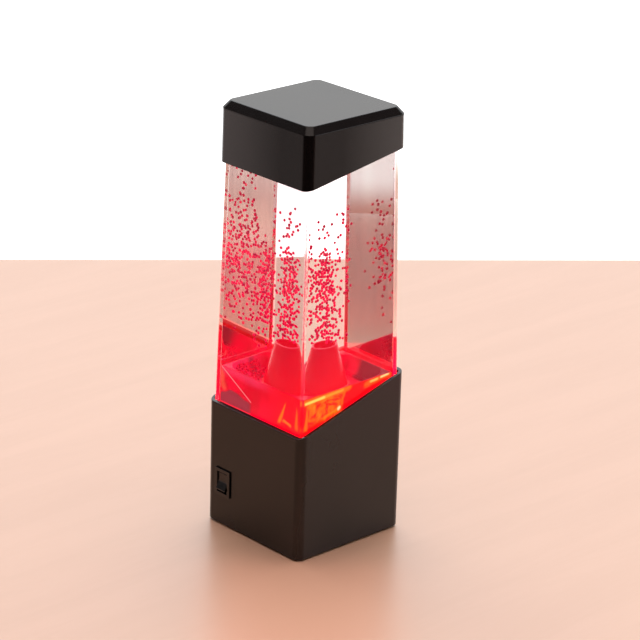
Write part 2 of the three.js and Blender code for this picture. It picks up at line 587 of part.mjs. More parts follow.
// ------------------------------------------- deck and nozzle inside the tank
const deckOuter = (z) => tankHalf(z) - TANK_WALL - 0.32;
{
  let deck = loft([
    { pts: outline(deckOuter(DECK_Z0), deckOuter(DECK_Z0), 1.0, 3), z: DECK_Z0 },
    { pts: outline(deckOuter(DECK_TOP), deckOuter(DECK_TOP), 1.0, 3), z: DECK_TOP },
  ]);
  deck = cut(
    deck,
    loft([
      { pts: outline(deckOuter(DECK_Z0) - DECK_SKIRT, deckOuter(DECK_Z0) - DECK_SKIRT, 0.6, 2), z: DECK_Z0 - 1 },
      { pts: outline(deckOuter(DISH) - DECK_SKIRT, deckOuter(DISH) - DECK_SKIRT, 0.6, 2), z: DISH - DECK_T },
    ]),
    loft([
      { pts: outline(DISH_FLOOR_HALF, DISH_FLOOR_HALF, DISH_FLOOR_R, 4), z: DISH },
      { pts: outline(DISH_HALF, DISH_HALF, DISH_R, 4), z: DECK_TOP },
      { pts: outline(DISH_HALF, DISH_HALF, DISH_R, 4), z: DECK_TOP + 2 },
    ]),
  );
  deck = join(deck, rod(PUMP_RING_OUT, PUMP_RING_Z0, DISH - 0.5, 0, 0, 20));
  deck = cut(deck, rod(DECK_HOLE_R, PUMP_RING_Z0 - 1, DISH + 1, 0, 0, 20));
  for (const s of [-1, 1]) {
    deck = cut(
      deck,
      box(-SLOT_L / 2, SLOT_L / 2, s * SLOT_AT - SLOT_W / 2, s * SLOT_AT + SLOT_W / 2, DISH - 4, DISH + 1),
      box(s * SLOT_AT - SLOT_W / 2, s * SLOT_AT + SLOT_W / 2, -SLOT_L / 2, SLOT_L / 2, DISH - 4, DISH + 1),
    );
  }
  add(tank, 'bead_deck', deck, redClear());

  const cone = ring([
    [11.2, DISH - 3.2], [12.2, DISH - 3.2], [12.2, DISH + GAP], [15.3, DISH + GAP], [15.3, DISH + 1.2], [CONE_BOT_R, DISH + 1.4],
    [CONE_TOP_R, CONE_TOP - 0.3], [CONE_TOP_R - 0.3, CONE_TOP], [CONE_BORE_R + 0.3, CONE_TOP], [CONE_BORE_R, CONE_TOP - 0.5],
    [11.2, DISH + 2.0],
  ], 20);
  add(tank, 'nozzle_cone', cone, redClear());

  // beads that have settled round the cone's foot
  const bed = cut(
    loft([
      { pts: outline(24.6, 24.6, 9.5, 3), z: DISH + GAP },
      { pts: outline(24.2, 24.2, 9.4, 3), z: DISH + GAP + 0.6 },
      { pts: outline(22.6, 22.6, 8.6, 3), z: DISH + GAP + 1.1 },
    ]),
    rod(15.8, DISH - 1, DISH + 5, 0, 0, 20),
  );
  add(tank, 'bead_bed', bed, mat(0xd21438, 0.4, 0));
}

// ------------------------------------------------------------------- impeller
{
  let wheel = join(rod(3.2, IMP_Z0, 70.5, 0, 0, 12), rod(IMP_R, IMP_Z0, 66.6, 0, 0, 24));
  for (let k = 0; k < 6; k++) {
    const g = new THREE.BoxGeometry(7.4, 1.0, 4.2);
    g.translate(2.6 + 3.7, 0, 68.4);
    g.rotateZ((k * Math.PI) / 3);
    wheel = join(wheel, solid(g));
  }
  wheel = cut(
    wheel,
    rod(1.4, IMP_Z0 - 1, 72, 0, 0, 10),
    rod(MAGNET_R + GAP + 0.1, IMP_Z0 - 1, IMP_Z0 + 2.6, MAGNET_AT, 0, 12),
    rod(MAGNET_R + GAP + 0.1, IMP_Z0 - 1, IMP_Z0 + 2.6, -MAGNET_AT, 0, 12),
  );
  add(impellerGroup, 'impeller', wheel, mat(0xf0eeea, 0.35, 0));
  const magnet = rod(MAGNET_R, 0, 2.2, 0, 0, 12);
  add(impellerGroup, 'impeller_magnet_1', magnet, nickel(), [-MAGNET_AT, 0, IMP_Z0]);
  add(impellerGroup, 'impeller_magnet_2', magnet, nickel(), [MAGNET_AT, 0, IMP_Z0]);
}

// ---------------------------------------------------------------------- water
{
  const low = FLOOR_STEP + GAP;
  let water = shell(-TANK_WALL - GAP, low, WATER_TOP, 0.9);
  // the deck: skirt, dish with its slots, pump ring
  const skirtIn = deckOuter(DECK_TOP) - DECK_SKIRT - GAP;
  let deckRoom = cut(
    box(-40, 40, -40, 40, low - 2, DECK_TOP + GAP),
    prism(outline(skirtIn, skirtIn, 0.4, 2), low - 4, DISH - DECK_T - GAP),
    loft([
      { pts: outline(DISH_FLOOR_HALF - GAP, DISH_FLOOR_HALF - GAP, DISH_FLOOR_R, 4), z: DISH + GAP },
      { pts: outline(DISH_HALF - GAP, DISH_HALF - GAP, DISH_R, 4), z: DECK_TOP + GAP },
      { pts: outline(DISH_HALF - GAP, DISH_HALF - GAP, DISH_R, 4), z: DECK_TOP + 3 },
    ]),
  );
  deckRoom = cut(deckRoom, rod(DECK_HOLE_R - GAP - 0.1, low - 4, DISH + 2, 0, 0, 20));
  for (const s of [-1, 1]) {
    const w = SLOT_W / 2 - GAP;
    const l = SLOT_L / 2 - GAP;
    deckRoom = cut(deckRoom, box(-l, l, s * SLOT_AT - w, s * SLOT_AT + w, DISH - 4, DISH + 2), box(s * SLOT_AT - w, s * SLOT_AT + w, -l, l, DISH - 4, DISH + 2));
  }
  const pumpRing = cut(rod(PUMP_RING_OUT + GAP + 0.1, PUMP_RING_Z0 - GAP, DISH, 0, 0, 20), rod(DECK_HOLE_R - GAP - 0.1, PUMP_RING_Z0 - 2, DISH + 2, 0, 0, 20));
  const coneRoom = ring([
    [10.8, DISH - 3.6], [13.0, DISH - 3.6], [13.0, DISH], [15.7, DISH], [15.7, DISH + 1.6], [CONE_BOT_R + 0.35, DISH + 1.8],
    [CONE_TOP_R + 0.35, CONE_TOP + 0.35], [CONE_BORE_R - 0.4, CONE_TOP + 0.35], [CONE_BORE_R - 0.4, CONE_TOP - 0.6],
    [10.8, DISH + 2.1],
  ], 20);
  const bedRoom = cut(prism(outline(25.0, 25.0, 9.6, 3), DISH - 0.5, DISH + GAP + 1.5), rod(15.4, DISH - 2, DISH + 5, 0, 0, 20));
  const wheelRoom = join(rod(IMP_R + 0.5, low - 2, 70.9, 0, 0, 20), rod(1.5, 70, 71.9, 0, 0, 10));
  water = cut(water, deckRoom, pumpRing, coneRoom, bedRoom, wheelRoom);
  add(tank, 'water', water, mat(0xe8f2ff, 0.02, 0.0, { transparent: true, opacity: 0.12 }));
}

// ---------------------------------------------------------------- filler plug
add(tank, 'fill_plug', turned([
  [0, 208.6], [NECK_BORE - 0.7, 208.6], [NECK_BORE - 0.3, 209.2], [NECK_BORE - 0.3, NECK_TOP + GAP], [6.5, NECK_TOP + GAP],
  [6.5, 214.5], [6.0, 215.0], [0, 215.0],
], 18), rubber());

// ------------------------------------------------------------------------ cap
{
  const zc = CAP_TOP - CAP_CHAMFER_DOWN;
  const h = (z) => CAP_HALF_LOW + ((CAP_HALF_HIGH - CAP_HALF_LOW) * (z - CAP_EDGE_LOW)) / (zc - CAP_EDGE_LOW);
  const z0 = CAP_EDGE_LOW - 3;
  const outer = loft([
    { pts: outline(h(z0), h(z0), CAP_R, 5), z: z0 },
    { pts: outline(h(zc), h(zc), CAP_R, 5), z: zc },
    { pts: outline(h(zc) - CAP_CHAMFER_IN, h(zc) - CAP_CHAMFER_IN, 3.7, 5), z: CAP_TOP },
  ]);
  const zi = CAP_TOP - CAP_ROOF_T;
  const inner = loft([
    { pts: outline(h(z0) - CAP_WALL, h(z0) - CAP_WALL, CAP_IN_R, 3), z: z0 - 1 },
    { pts: outline(h(zc - 1) - CAP_WALL, h(zc - 1) - CAP_WALL, CAP_IN_R, 3), z: zc - 1 },
    { pts: outline(h(zc) - CAP_CHAMFER_IN - 1.2, h(zc) - CAP_CHAMFER_IN - 1.2, 2.2, 3), z: zi },
  ]);
  let cap = cut(outer, inner, wedge(CAP_HALF_LOW, CAP_EDGE_LOW, CAP_EDGE_HIGH, false));
  // four stops that rest on the tank's top
  for (const sx of [-1, 1]) {
    for (const sy of [-1, 1]) {
      const x0 = Math.min(sx * 23.4, sx * 26.6);
      const y0 = Math.min(sy * 23.4, sy * 26.6);
      cap = join(cap, box(x0, x0 + 3.2, y0, y0 + 3.2, TANK_TOP + GAP, zi + 0.5));
    }
  }
  add(capGroup, 'cap', cap, black());
}

export default lamp;
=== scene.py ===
import math
import random

import bmesh
import bpy
from mathutils import Matrix, Vector, noise


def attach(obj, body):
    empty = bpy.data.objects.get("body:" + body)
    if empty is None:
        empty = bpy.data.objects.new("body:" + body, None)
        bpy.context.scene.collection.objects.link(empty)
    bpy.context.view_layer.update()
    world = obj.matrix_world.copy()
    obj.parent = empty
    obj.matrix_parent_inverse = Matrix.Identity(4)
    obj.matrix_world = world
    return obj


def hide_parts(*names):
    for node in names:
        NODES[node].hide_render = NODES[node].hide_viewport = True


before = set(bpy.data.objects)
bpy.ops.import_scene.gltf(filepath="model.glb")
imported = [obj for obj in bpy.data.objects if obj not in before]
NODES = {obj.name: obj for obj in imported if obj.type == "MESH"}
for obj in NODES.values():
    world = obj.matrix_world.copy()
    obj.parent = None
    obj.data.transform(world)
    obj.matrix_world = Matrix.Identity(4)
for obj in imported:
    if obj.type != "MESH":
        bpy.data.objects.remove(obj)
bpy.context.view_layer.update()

# Shapes below are written in millimetres above the housing's bottom edge; the
# feet lift the housing this far off the table.
MM = 0.001
FEET = 0.8

# ------------------------------------------------------------------ dimensions
BASE_HALF, BASE_R, BASE_WALL, BASE_IN_R = 35.0, 4.4, 2.1, 1.2
BASE_LOW, BASE_HIGH = 65.0, 85.0
SHELF_0, SHELF_1, SHELF_R = 53.6, 55.6, 24.0
TANK_0, TANK_TOP, TANK_WALL = 59.6, 210.0, 2.0
TANK_R, TANK_IN_R = 1.0, 0.6
TANK_TAPER = 2.3 / 126.0
NECK_R, NECK_BORE, NECK_TOP = 7.0, 5.0, 212.5
DECK_0, DECK_TOP, DECK_T, DECK_SKIRT = 60.9, 84.0, 1.4, 1.3
DISH, DISH_HALF, DISH_R, DISH_LOW_HALF, DISH_LOW_R = 77.0, 28.4, 13.0, 25.2, 10.0
DECK_HOLE, PUMP_OUT, PUMP_0 = 12.6, 13.8, 66.5
SLOT_L, SLOT_W, SLOT_AT = 22.0, 2.2, 21.6
CONE_TOP, CONE_TOP_R, CONE_BOT_R, CONE_BORE_R = 100.2, 7.7, 14.1, 6.2
WATER_0, WATER_TOP = 60.9, 204.5
CAP_TOP, CAP_LOW_HALF, CAP_HIGH_HALF = 222.3, 32.7, 32.45
CAP_R, CAP_WALL, CAP_IN_R, CAP_LOW, CAP_HIGH = 4.6, 2.15, 1.2, 191.0, 202.0
CAP_IN, CAP_DOWN, CAP_ROOF = 2.8, 3.7, 2.0
SWITCH_Y, SWITCH_Z = 22.2, 23.2
INLET_Z = 31.0


def tank_half(z):
    return 32.5 - (z - 65.0) * TANK_TAPER


def rim(x):
    """Height of the base's slanted rim."""
    return BASE_LOW + (BASE_HIGH - BASE_LOW) * (x + BASE_HALF) / (2 * BASE_HALF)


def cap_edge(x):
    """Height of the cap's slanted lower edge."""
    return CAP_LOW + (CAP_HIGH - CAP_LOW) * (x + CAP_LOW_HALF) / (2 * CAP_LOW_HALF)


# ---------------------------------------------------------------------- camera
def turn(axis, degrees):
    return Matrix.Rotation(math.radians(degrees), 3, axis)


def make_camera():
    az, el, distance, look = math.radians(-42.7471), math.radians(20.7596), 1.36413, 0.114381
    place = Vector(
        (math.sin(az) * math.cos(el), -math.cos(az) * math.cos(el), math.sin(el))
    ) * distance + Vector((0, 0, look))
    ahead = (Vector((0, 0, look)) - place).normalized()
    right = ahead.cross(Vector((0, 0, 1))).normalized()
    up = right.cross(ahead)
    rows = turn("Z", 1.5190) @ turn("X", 0.1805) @ turn("Y", -0.2514) @ Matrix((right, -up, ahead))
    m = Matrix((rows[0], -rows[1], -rows[2])).transposed().to_4x4()
    m.translation = place + Vector((0, 0, FEET * MM))
    data = bpy.data.cameras.new("camera")
    data.sensor_width = 36.0
    data.lens = 2742.792 * 36.0 / 640.0
    data.clip_end = 20
    cam = bpy.data.objects.new("camera", data)
    cam.matrix_world = m
    bpy.context.scene.collection.objects.link(cam)
    bpy.context.scene.camera = cam


make_camera()


# ------------------------------------------------------------------ node tools
class Paint:
    """A material's node tree, with short calls to add and join its nodes."""

    def __init__(self, name, tree=None):
        if tree is None:
            self.material = bpy.data.materials.new(name)
            self.material.use_nodes = True
            tree = self.material.node_tree
        self.tree = tree
        tree.nodes.clear()
        self._coord = None

    def add(self, kind, inputs=None, **props):
        n = self.tree.nodes.new("ShaderNode" + kind)
        for k, v in props.items():
            setattr(n, k, v)
        for k, v in (inputs or {}).items():
            self.put(n.inputs[k], v)
        return n

    def put(self, socket, value):
        if isinstance(value, bpy.types.NodeSocket):
            self.tree.links.new(value, socket)
        elif isinstance(value, tuple) and len(value) == 3 and socket.type == "RGBA":
            socket.default_value = (*value, 1.0)
        else:
            socket.default_value = value

    @property
    def place(self):
        """Object coordinates, in metres in the lamp's own frame."""
        if self._coord is None:
            self._coord = self.add("TexCoord").outputs["Object"]
        return self._coord

    def xyz(self):
        n = self.add("SeparateXYZ", {0: self.place})
        return n.outputs[0], n.outputs[1], n.outputs[2]

    def mm(self):
        """The same place in millimetres, its height taken from the housing's bottom edge."""
        x, y, z = self.xyz()
        return (
            self.math("MULTIPLY", x, 1000.0),
            self.math("MULTIPLY", y, 1000.0),
            self.math("MULTIPLY_ADD", z, 1000.0, -FEET),
        )

    def near(self, u, v, a, b, core, fade):
        """1 within core of the line from a to b in the plane of u and v, and 0 from fade on."""
        du, dv = b[0] - a[0], b[1] - a[1]
        long2 = max(du * du + dv * dv, 1e-9)
        pu, pv = self.math("SUBTRACT", u, a[0]), self.math("SUBTRACT", v, a[1])
        t = self.math("MULTIPLY_ADD", pu, du / long2, self.math("MULTIPLY", pv, dv / long2), clamp=True)
        eu, ev = self.math("MULTIPLY_ADD", t, -du, pu), self.math("MULTIPLY_ADD", t, -dv, pv)
        gone = self.math("SQRT", self.math("MULTIPLY_ADD", eu, eu, self.math("MULTIPLY", ev, ev)))
        return self.span(gone, core, fade, 1.0, 0.0)

    def times(self, a, *rest):
        for b in rest:
            a = self.math("MULTIPLY", a, b)
        return a

    def noise(self, scale, detail=2.0, rough=0.5, vector=None, distortion=0.0):
        n = self.add(
            "TexNoise",
            {"Vector": vector or self.place, "Scale": scale, "Detail": detail, "Roughness": rough, "Distortion": distortion},
        )
        return n.outputs["Fac"]

    def stretch(self, sx, sy, sz, vector=None):
        return self.add("Mapping", {"Vector": vector or self.place, "Scale": (sx, sy, sz)}).outputs[0]

    def math(self, op, a, b=0.0, c=0.0, clamp=False):
        return self.add("Math", {0: a, 1: b, 2: c}, operation=op, use_clamp=clamp).outputs[0]

    def span(self, value, lo, hi, out0=0.0, out1=1.0, smooth=True):
        return self.add(
            "MapRange",
            {"Value": value, "From Min": lo, "From Max": hi, "To Min": out0, "To Max": out1},
            interpolation_type="SMOOTHSTEP" if smooth else "LINEAR",
        ).outputs[0]

    def ramp(self, value, *stops):
        n = self.add("ValToRGB", {"Fac": value})
        e = n.color_ramp.elements
        while len(e) < len(stops):
            e.new(0.5)
        for item, (at, colour) in zip(e, stops):
            item.position = at
            item.color = (*colour, 1.0)
        return n.outputs["Color"]

    def mix(self, fac, a, b):
        n = self.add("Mix", data_type="RGBA")
        self.put(n.inputs["Factor"], fac)
        self.put(n.inputs["A"], a)
        self.put(n.inputs["B"], b)
        return n.outputs["Result"]

    def bump(self, height, distance, strength=1.0, normal=None):
        n = self.add("Bump", {"Height": height, "Distance": distance, "Strength": strength})
        if normal is not None:
            self.put(n.inputs["Normal"], normal)
        return n.outputs["Normal"]

    def shader(self, **inputs):
        n = self.add("BsdfPrincipled")
        for k, v in inputs.items():
            self.put(n.inputs[k.replace("_", " ")], v)
        return n.outputs["BSDF"]

    def finish(self, surface, volume=None):
        out = self.add("OutputMaterial", {"Surface": surface})
        if volume is not None:
            self.put(out.inputs["Volume"], volume)
        return self.material


# ------------------------------------------------------------------- materials
def black_plastic(name="black_plastic", rough=(0.21, 0.29)):
    """Dark satin styrene with a fine moulded grain, faint flow marks and handling haze."""
    p = Paint(name)
    fine = p.noise(2600, 3.0, 0.6)
    broad = p.noise(24, 3.0, 0.55)
    flow = p.noise(9, 2.0, 0.5, p.stretch(1.0, 1.0, 0.35))
    colour = p.mix(p.span(broad, 0.35, 0.65), (0.0042, 0.0030, 0.0034), (0.0072, 0.0052, 0.0058))
    haze = p.math("MULTIPLY_ADD", p.span(flow, 0.38, 0.62), 0.5, p.math("MULTIPLY", broad, 0.5))
    roughness = p.span(haze, 0.2, 0.8, rough[0], rough[1])
    normal = p.bump(fine, 0.000015, 0.30)
    normal = p.bump(broad, 0.00035, 0.10, normal)
    return p.finish(
        p.shader(Base_Color=colour, Roughness=roughness, IOR=1.5, Specular_IOR_Level=0.5, Normal=normal)
    )


def cap_plastic():
    """The cap's black styrene: the same grain, its sides more polished by handling the farther from the front corner."""
    p = Paint("cap_plastic")
    x, y, z = p.mm()
    fine = p.noise(2600, 3.0, 0.6)
    broad = p.noise(24, 3.0, 0.55)
    flow = p.noise(9, 2.0, 0.5, p.stretch(1.0, 1.0, 0.35))
    colour = p.mix(p.span(broad, 0.35, 0.65), (0.0048, 0.0030, 0.0030), (0.0080, 0.0052, 0.0052))
    haze = p.math("MULTIPLY_ADD", p.span(flow, 0.38, 0.62), 0.5, p.math("MULTIPLY", broad, 0.5))
    polish = p.math("MULTIPLY_ADD", haze, 0.25, p.span(p.math("ADD", x, y), -50.0, 6.0, -0.22, 0.98, smooth=False))
    sides = p.span(z, CAP_TOP - CAP_DOWN + 0.2, CAP_TOP - CAP_DOWN - 1.2)
    normal = p.bump(fine, 0.000015, 0.30)
    normal = p.bump(broad, 0.00035, 0.10, normal)
    return p.finish(
        p.shader(
            Base_Color=colour,
            Roughness=p.span(haze, 0.2, 0.8, 0.20, 0.28),
            IOR=1.5,
            Specular_IOR_Level=0.22,
            Coat_Weight=p.math("MULTIPLY", polish, sides, clamp=True),
            Coat_Roughness=0.16,
            Normal=normal,
        )
    )


def switch_plastic():
    """Glossier black nylon of the switch and the inlet."""
    p = Paint("switch_plastic")
    fine = p.noise(3200, 2.0, 0.6)
    broad = p.noise(60, 3.0)
    colour = p.mix(p.span(broad, 0.3, 0.7), (0.006, 0.006, 0.006), (0.012, 0.011, 0.011))
    return p.finish(
        p.shader(
            Base_Color=colour,
            Roughness=p.span(broad, 0.3, 0.7, 0.16, 0.28),
            IOR=1.53,
            Normal=p.bump(fine, 0.00001, 0.3),
        )
    )


def rubber_material():
    p = Paint("rubber")
    fine = p.noise(1800, 4.0, 0.65)
    broad = p.noise(90, 3.0)
    colour = p.mix(p.span(broad, 0.35, 0.65), (0.016, 0.016, 0.017), (0.034, 0.033, 0.033))
    return p.finish(
        p.shader(Base_Color=colour, Roughness=p.span(fine, 0.3, 0.7, 0.72, 0.9), Normal=p.bump(fine, 0.00004, 0.5))
    )


def metal(name, colour, rough, stretch=(1, 1, 30), grain=0.4):
    """Drawn or turned metal: streaks along one axis in its colour, gloss and relief."""
    p = Paint(name)
    streak = p.noise(900, 3.0, 0.6, p.stretch(*stretch))
    broad = p.noise(70, 3.0)
    dark = tuple(c * 0.82 for c in colour)
    return p.finish(
        p.shader(
            Base_Color=p.mix(p.span(broad, 0.3, 0.7), dark, colour),
            Metallic=1.0,
            Roughness=p.span(streak, 0.25, 0.75, rough * 0.75, rough * 1.35),
            Normal=p.bump(streak, 0.00001, grain),
        )
    )


def moulded(name, a, b, rough=0.4):
    p = Paint(name)
    fine = p.noise(1900, 3.0, 0.6)
    broad = p.noise(50, 3.0)
    return p.finish(
        p.shader(
            Base_Color=p.mix(p.span(broad, 0.3, 0.7), a, b),
            Roughness=p.span(broad, 0.3, 0.7, rough * 0.85, rough * 1.15),
            Normal=p.bump(fine, 0.00002, 0.35),
        )
    )


def cell_jacket():
    """Plain shrink sleeve: graphite body, warm metal band and bare ends by place along the cell."""
    p = Paint("cell_jacket")
    x, y, z = p.xyz()
    fine = p.noise(1500, 2.0)
    wrap = p.noise(300, 2.0, 0.5, p.stretch(1, 12, 1))
    # the middle cell lies the other way round
    middle = p.math("LESS_THAN", p.math("ABSOLUTE", x), 0.0076)
    along = p.math("MULTIPLY", y, p.math("MULTIPLY_ADD", middle, -2.0, 1.0))
    band = p.span(along, 0.0105, 0.0107, smooth=False)
    end_a = p.span(along, 0.02545, 0.02555, smooth=False)
    end_b = p.span(along, -0.0228, -0.0227, 1.0, 0.0, smooth=False)
    ends = p.math("MAXIMUM", end_a, end_b)
    sleeve = p.mix(p.span(wrap, 0.3, 0.7), (0.020, 0.026, 0.034), (0.034, 0.042, 0.052))
    colour = p.mix(band, sleeve, p.mix(p.span(fine, 0.3, 0.7), (0.52, 0.33, 0.16), (0.62, 0.42, 0.22)))
    colour = p.mix(ends, colour, (0.66, 0.66, 0.67))
    return p.finish(
        p.shader(
            Base_Color=colour,
            Metallic=p.math("MAXIMUM", p.math("MULTIPLY", band, 0.8), ends),
            Roughness=p.span(fine, 0.2, 0.8, 0.24, 0.36),
            Normal=p.bump(wrap, 0.00003, 0.3),
        )
    )


def board_green():
    """Lacquered board with faint conductor paths under the mask."""
    p = Paint("board_green")
    bricks = p.add(
        "TexBrick",
        {"Vector": p.place, "Scale": 260.0, "Mortar Size": 0.09, "Color1": (0, 0, 0), "Color2": (0, 0, 0), "Mortar": (1, 1, 1)},
    ).outputs["Color"]
    fine = p.noise(1400, 2.0)
    colour = p.mix(p.math("MULTIPLY", bricks, 0.6), (0.010, 0.080, 0.030), (0.030, 0.17, 0.06))
    return p.finish(
        p.shader(
            Base_Color=colour, Roughness=p.span(fine, 0.2, 0.8, 0.24, 0.36), Coat_Weight=0.4, Coat_Roughness=0.12,
            Normal=p.bump(bricks, 0.00003, 0.5),
        )
    )


def led_lens():
    p = Paint("led_lens")
    x, y, z = p.xyz()
    fine = p.noise(900, 2.0)
    glow_level = p.span(z, 0.0490, 0.0568, 0.35, 1.0)
    glow = p.ramp(p.math("MULTIPLY", glow_level, p.span(fine, 0.1, 0.9, 0.85, 1.1)), (0.0, (0.8, 0.01, 0.01)), (1.0, (1.0, 0.20, 0.05)))
    return p.finish(
        p.shader(
            Base_Color=p.mix(glow_level, (0.75, 0.02, 0.015), (0.85, 0.05, 0.02)),
            Roughness=p.span(fine, 0.2, 0.8, 0.06, 0.14),
            Emission_Color=glow,
            Emission_Strength=4.0,
        )
    )


def lead_jacket(name, a, b):
    p = Paint(name)
    fine = p.noise(1200, 2.0)
    return p.finish(
        p.shader(
            Base_Color=p.mix(p.span(fine, 0.3, 0.7), a, b), Roughness=p.span(fine, 0.2, 0.8, 0.35, 0.5),
            Normal=p.bump(fine, 0.00002, 0.3),
        )
    )


def let_light_by(p, glass, tint=(1.0, 1.0, 1.0)):
    """Clear plastic that lamps shine through, so that what it holds is lit."""
    shadow = p.add("LightPath").outputs["Is Shadow Ray"]
    clear = p.add("BsdfTransparent", {"Color": tint}).outputs[0]
    return p.add("MixShader", {0: shadow, 1: glass, 2: clear}).outputs[0]


def acrylic_outer():
    """Polished clear acrylic against air, with a painted glow for some of the red light from below: the wall is painted
    glowing where it stands inside the base, and along the tank's corners, where the light comes out, pinker the higher."""
    p = Paint("acrylic_outer")
    x, y, z = p.mm()
    smear = p.noise(26, 3.0, 0.55, p.stretch(1, 1, 0.3))
    wave = p.noise(14, 2.0, 0.5, p.stretch(1, 1, 0.25))
    far = p.times(p.span(p.math("MAXIMUM", x, y), 28.5, 29.0), 3.2)
    level = p.math("SUBTRACT", p.math("SUBTRACT", z, far), p.math("MULTIPLY_ADD", x, 0.2857, 75.0))
    inside_base = p.span(level, 0.5, -0.3)
    edge = p.math("MINIMUM", p.math("ABSOLUTE", x), p.math("ABSOLUTE", y))
    half = p.math("MULTIPLY_ADD", z, -TANK_TAPER, 32.5 + 65.0 * TANK_TAPER)
    corner = p.span(p.math("SUBTRACT", edge, half), -1.9, -0.5)
    nose = p.span(p.math("ADD", x, y), -50.0, -54.0)
    height = p.span(z, 78.0, 205.0, smooth=False)
    # painted glow colours: red low down, pinker up the corners, deep red where the wall stands inside the base
    colour = p.ramp(
        height, (0.0, (0.90, 0.0, 0.012)), (0.10, (0.90, 0.05, 0.08)), (0.32, (0.80, 0.28, 0.28)), (1.0, (0.62, 0.52, 0.60))
    )
    colour = p.mix(inside_base, colour, (0.92, 0.001, 0.010))
    dim = p.math("MULTIPLY", p.span(height, 0.05, 0.5, 0.34, 0.20), p.math("MULTIPLY_ADD", nose, 0.25, 1.0))
    strength = p.math("MAXIMUM", p.math("MULTIPLY", corner, dim), p.math("MULTIPLY", inside_base, 0.85))
    glass = p.shader(
        Base_Color=(0.985, 0.975, 0.975),
        Transmission_Weight=1.0,
        Roughness=p.span(smear, 0.45, 0.75, 0.0, 0.03),
        IOR=1.49,
        Specular_Tint=(0.60, 0.12, 0.16),
        Emission_Color=colour,
        Emission_Strength=strength,
        Normal=p.bump(wave, 0.0006, 0.05),
    )
    return p.finish(let_light_by(p, glass))


def acrylic_wet():
    """The acrylic's inner face, where water stands against it. The +X wall is tinted darker, a painted shade over what
    is seen through it.
    """
    p = Paint("acrylic_wet")
    x, y, z = p.mm()
    wave = p.noise(14, 2.0, 0.5, p.stretch(1, 1, 0.25))
    # painted shade: a darkening tint on the +X wall
    shade_tint = p.times(p.span(x, 27.0, 27.6), p.span(p.math("ABSOLUTE", y), 29.5, 28.5))
    shade_tint = p.math("MULTIPLY", shade_tint, p.span(p.noise(30, 3.0, 0.6, p.stretch(1, 3.0, 0.15)), 0.3, 0.7, 0.8, 1.0))
    glass = p.shader(
        Base_Color=p.mix(shade_tint, (0.99, 0.985, 0.985), (0.62, 0.48, 0.51)), Transmission_Weight=1.0, Roughness=0.0, IOR=1.117,
        Normal=p.bump(wave, 0.0006, 0.05),
    )
    return p.finish(let_light_by(p, glass))


def water_side():
    """The water's sides: the wall's inner face already bends the light there, so only the water's own tint is left."""
    p = Paint("water_side")
    clear = p.add("BsdfTransparent", {"Color": (1.0, 1.0, 1.0)}).outputs[0]
    tint = p.add("VolumeAbsorption", {"Color": (0.92, 0.45, 0.42), "Density": 4.0}).outputs[0]
    return p.finish(clear, tint)


def water_top():
    p = Paint("water_top")
    ripple = p.noise(60, 2.0)
    glass = p.shader(
        Base_Color=(1.0, 1.0, 1.0), Transmission_Weight=1.0, Roughness=0.0, IOR=1.333, Normal=p.bump(ripple, 0.0004, 0.2)
    )
    tint = p.add("VolumeAbsorption", {"Color": (0.92, 0.45, 0.42), "Density": 4.0}).outputs[0]
    return p.finish(let_light_by(p, glass), tint)


def red_cone():
    """Red translucent nozzle under water; the light from below is a painted glow, stronger towards its foot and to the
    right, with a paler painted highlight on its lip.
    """
    p = Paint("red_cone")
    x, y, z = p.mm()
    fine = p.noise(700, 2.0)
    cloud = p.noise(70, 3.0, 0.55, distortion=0.4)
    # painted glow, brighter low down and to the right
    low = p.span(z, 100.0, 78.0, smooth=False)
    right = p.span(p.math("SUBTRACT", x, y), -10.0, 20.0)
    glow_level = p.math("MULTIPLY_ADD", low, 0.45, p.math("MULTIPLY", right, 0.35))
    glow_level = p.math("MULTIPLY_ADD", cloud, 0.25, glow_level)
    colour = p.ramp(glow_level, (0.1, (0.66, 0.0, 0.016)), (0.55, (0.80, 0.0, 0.016)), (1.0, (1.0, 0.0, 0.012)))
    # a paler painted highlight round the top of the lip
    lip = p.span(z, CONE_TOP - 0.55, CONE_TOP - 0.25)
    outside = p.span(p.math("SQRT", p.math("MULTIPLY_ADD", x, x, p.math("MULTIPLY", y, y))), CONE_BORE_R + 0.3, CONE_TOP_R - 0.2)
    colour = p.mix(p.times(lip, outside, 0.7), colour, (0.88, 0.05, 0.10))
    return p.finish(
        p.shader(
            Base_Color=p.mix(p.span(cloud, 0.3, 0.7), (0.10, 0.001, 0.004), (0.16, 0.002, 0.007)),
            Roughness=p.span(fine, 0.2, 0.8, 0.10, 0.18),
            IOR=1.19,
            Emission_Color=colour,
            Emission_Strength=1.0,
            Normal=p.bump(fine, 0.00002, 0.3),
        )
    )


